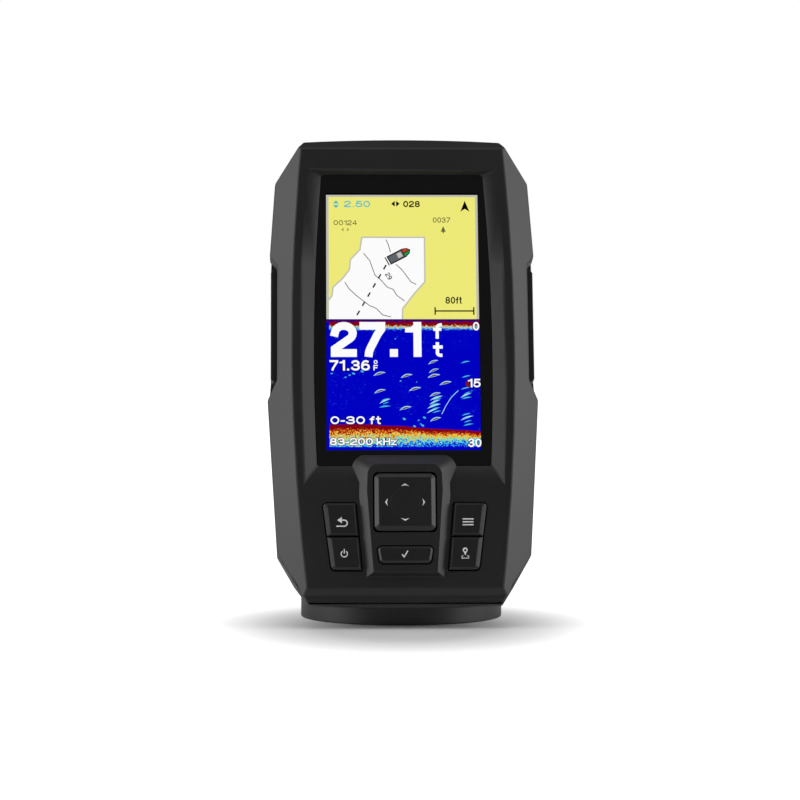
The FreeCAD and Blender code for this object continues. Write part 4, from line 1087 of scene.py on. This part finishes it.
FISH = [
    (-8.6, 85.0), (-8.5, 78.5), (1.2, 84.2), (4.2, 79.3), (0.7, 72.2), (10.9, 89.4), (11.1, 86.2),
    (11.1, 84.2), (15.3, 81.5), (11.5, 77.3), (11.5, 68.1)]
STRIPES = [
    (-6.6, 75.4), (-6.8, 72.8), (12.3, 75.6), (11.3, 73.6), (11.6, 72.1), (22.6, 89.4), (22.8, 84.0),
    (23.2, 77.9), (22.8, 76.0), (22.6, 69.9), (23.2, 67.3), (-6.4, 74.1), (12.0, 70.9), (22.4, 68.5),
    (23.4, 66.1), (22.5, 79.6)]
LONG_STRIPES = [
    (11.9, 76.0), (11.3, 74.5), (11.0, 73.0), (10.4, 71.3), (22.9, 68.6), (22.6, 77.0), (-6.7, 74.9)]
SPECKS = [
    (6.1, 66.5), (5.4, 67.8), (6.8, 65.9), (-20.9, 83.8), (-19.4, 84.6), (-18.0, 85.2), (-14.9, 86.0),
    (-2.8, 98.2), (-25.9, 85.2), (4.8, 82.0), (-1.0, 82.4), (3.9, 65.6), (7.5, 68.8), (-14.5, 68.0),
    (0.2, 68.3), (24.8, 78.8)]
FISH_TURN, FISH_SIZE, FISH_SEED = (-26, -14), (0.85, 1.1), 3
pale_leaf, red_leaf = crescent("pale_leaf", 4.2, 0.95, 0.3), crescent("red_leaf", 3.2, 0.5, 0.2)
echoes("fish_edges", SECOND, FISH, pale_leaf, PALE, FISH_TURN, FISH_SIZE, FISH_SEED)
echoes("fish_hearts", THIRD, FISH, red_leaf, DARK_RED, FISH_TURN, FISH_SIZE, FISH_SEED)
stripe = crescent("stripe", 3.6, 0.45, 0.2)
echoes("echo_stripes", SECOND, STRIPES, stripe, CYAN, (-24, -8), (0.6, 1.15), 5)
echoes("echo_long_stripes", SECOND, LONG_STRIPES, stripe, PALE, (-26, -18), (1.15, 1.45), 4)
speck = crescent("speck", 0.9, 0.5, 0.0, 6)
echoes("echo_specks", SECOND, SPECKS, speck, CYAN, (-60, 30), (0.5, 1.5), 8)
blob = Drawing(SECOND)
blob.arc(23.6, 81.3, 0.6, 1.1)
blob.piece("echo_blob", "head", DARK_RED)
trail = Drawing(SECOND)
trail.line([(13.8, 70.1), (15.2, 73.0), (17.2, 76.2), (19.9, 78.9)], 0.22)
trail.piece("echo_trail", "head", PALE)

# %% [markdown]
# ## The nodes that stay
# The other CAD nodes already have the right shape. They only need the finish of their slot.

# %% Carried-over nodes
panel = Finish("panel", (0.01, 0.01, 0.012), 0.25)
panel.drive("Roughness", panel.noise(0.0006) * 0.1 + 0.2)
FINISHES["lit_screen"] = panel.material
for row in frame["record"]["subparts"]:
    mesh = frame["nodes"][row["node"]].data
    mesh.materials.clear()
    mesh.materials.append(FINISHES[row["material_slot"]])

# %% [markdown]
# ## Floor
# The floor is a plain pale disc. Away from the object it glows white, as an overlit studio floor does, so
# that its far edge melts into the background. An oval round the base, drawn out towards the front, is
# left without glow. The lamps cast the shadow inside it, but where that shadow ends and how softly it fades
# into white is painted shadow, drawn by the glow's ramp. Only the camera sees the glow, so the chin isn't
# lit from below.

# %% Floor
FLOOR_RADIUS = 4
SHADOW_AHEAD, SHADOW_STRETCH = 0.04, 0.7
disc = bmesh.new()
bmesh.ops.create_circle(disc, cap_ends=True, segments=96, radius=FLOOR_RADIUS)
floor_mesh = bpy.data.meshes.new("floor")
disc.to_mesh(floor_mesh)
disc.free()
floor = new_object("floor", floor_mesh)
pale = Finish("pale_floor", (0.8, 0.8, 0.8), 0.6, Emission_Strength=1.0)
east, north, _ = pale.split(pale.place())
# Painted shadow: the glow's ramp over this oval distance sets the size and the soft edge of the shadow round the
# base.
ahead = (north + SHADOW_AHEAD) * SHADOW_STRETCH
far = (east * east + ahead * ahead).math("SQRT", east * east + ahead * ahead)
glow_round_painted_shadow = pale.ramp(
    far, (0.03, (0, 0, 0)), (0.05, (0.3, 0.3, 0.3)), (0.075, (0.8, 0.8, 0.8)), (0.9, (1, 1, 1)))
pale.drive("Emission Color", pale.layer(pale.node("LightPath"), (0, 0, 0, 1), glow_round_painted_shadow))
pale.drive("Roughness", pale.noise(0.2) * 0.1 + 0.55)
floor.data.materials.append(pale.material)
print(f"floor, {2 * FLOOR_RADIUS} m across")
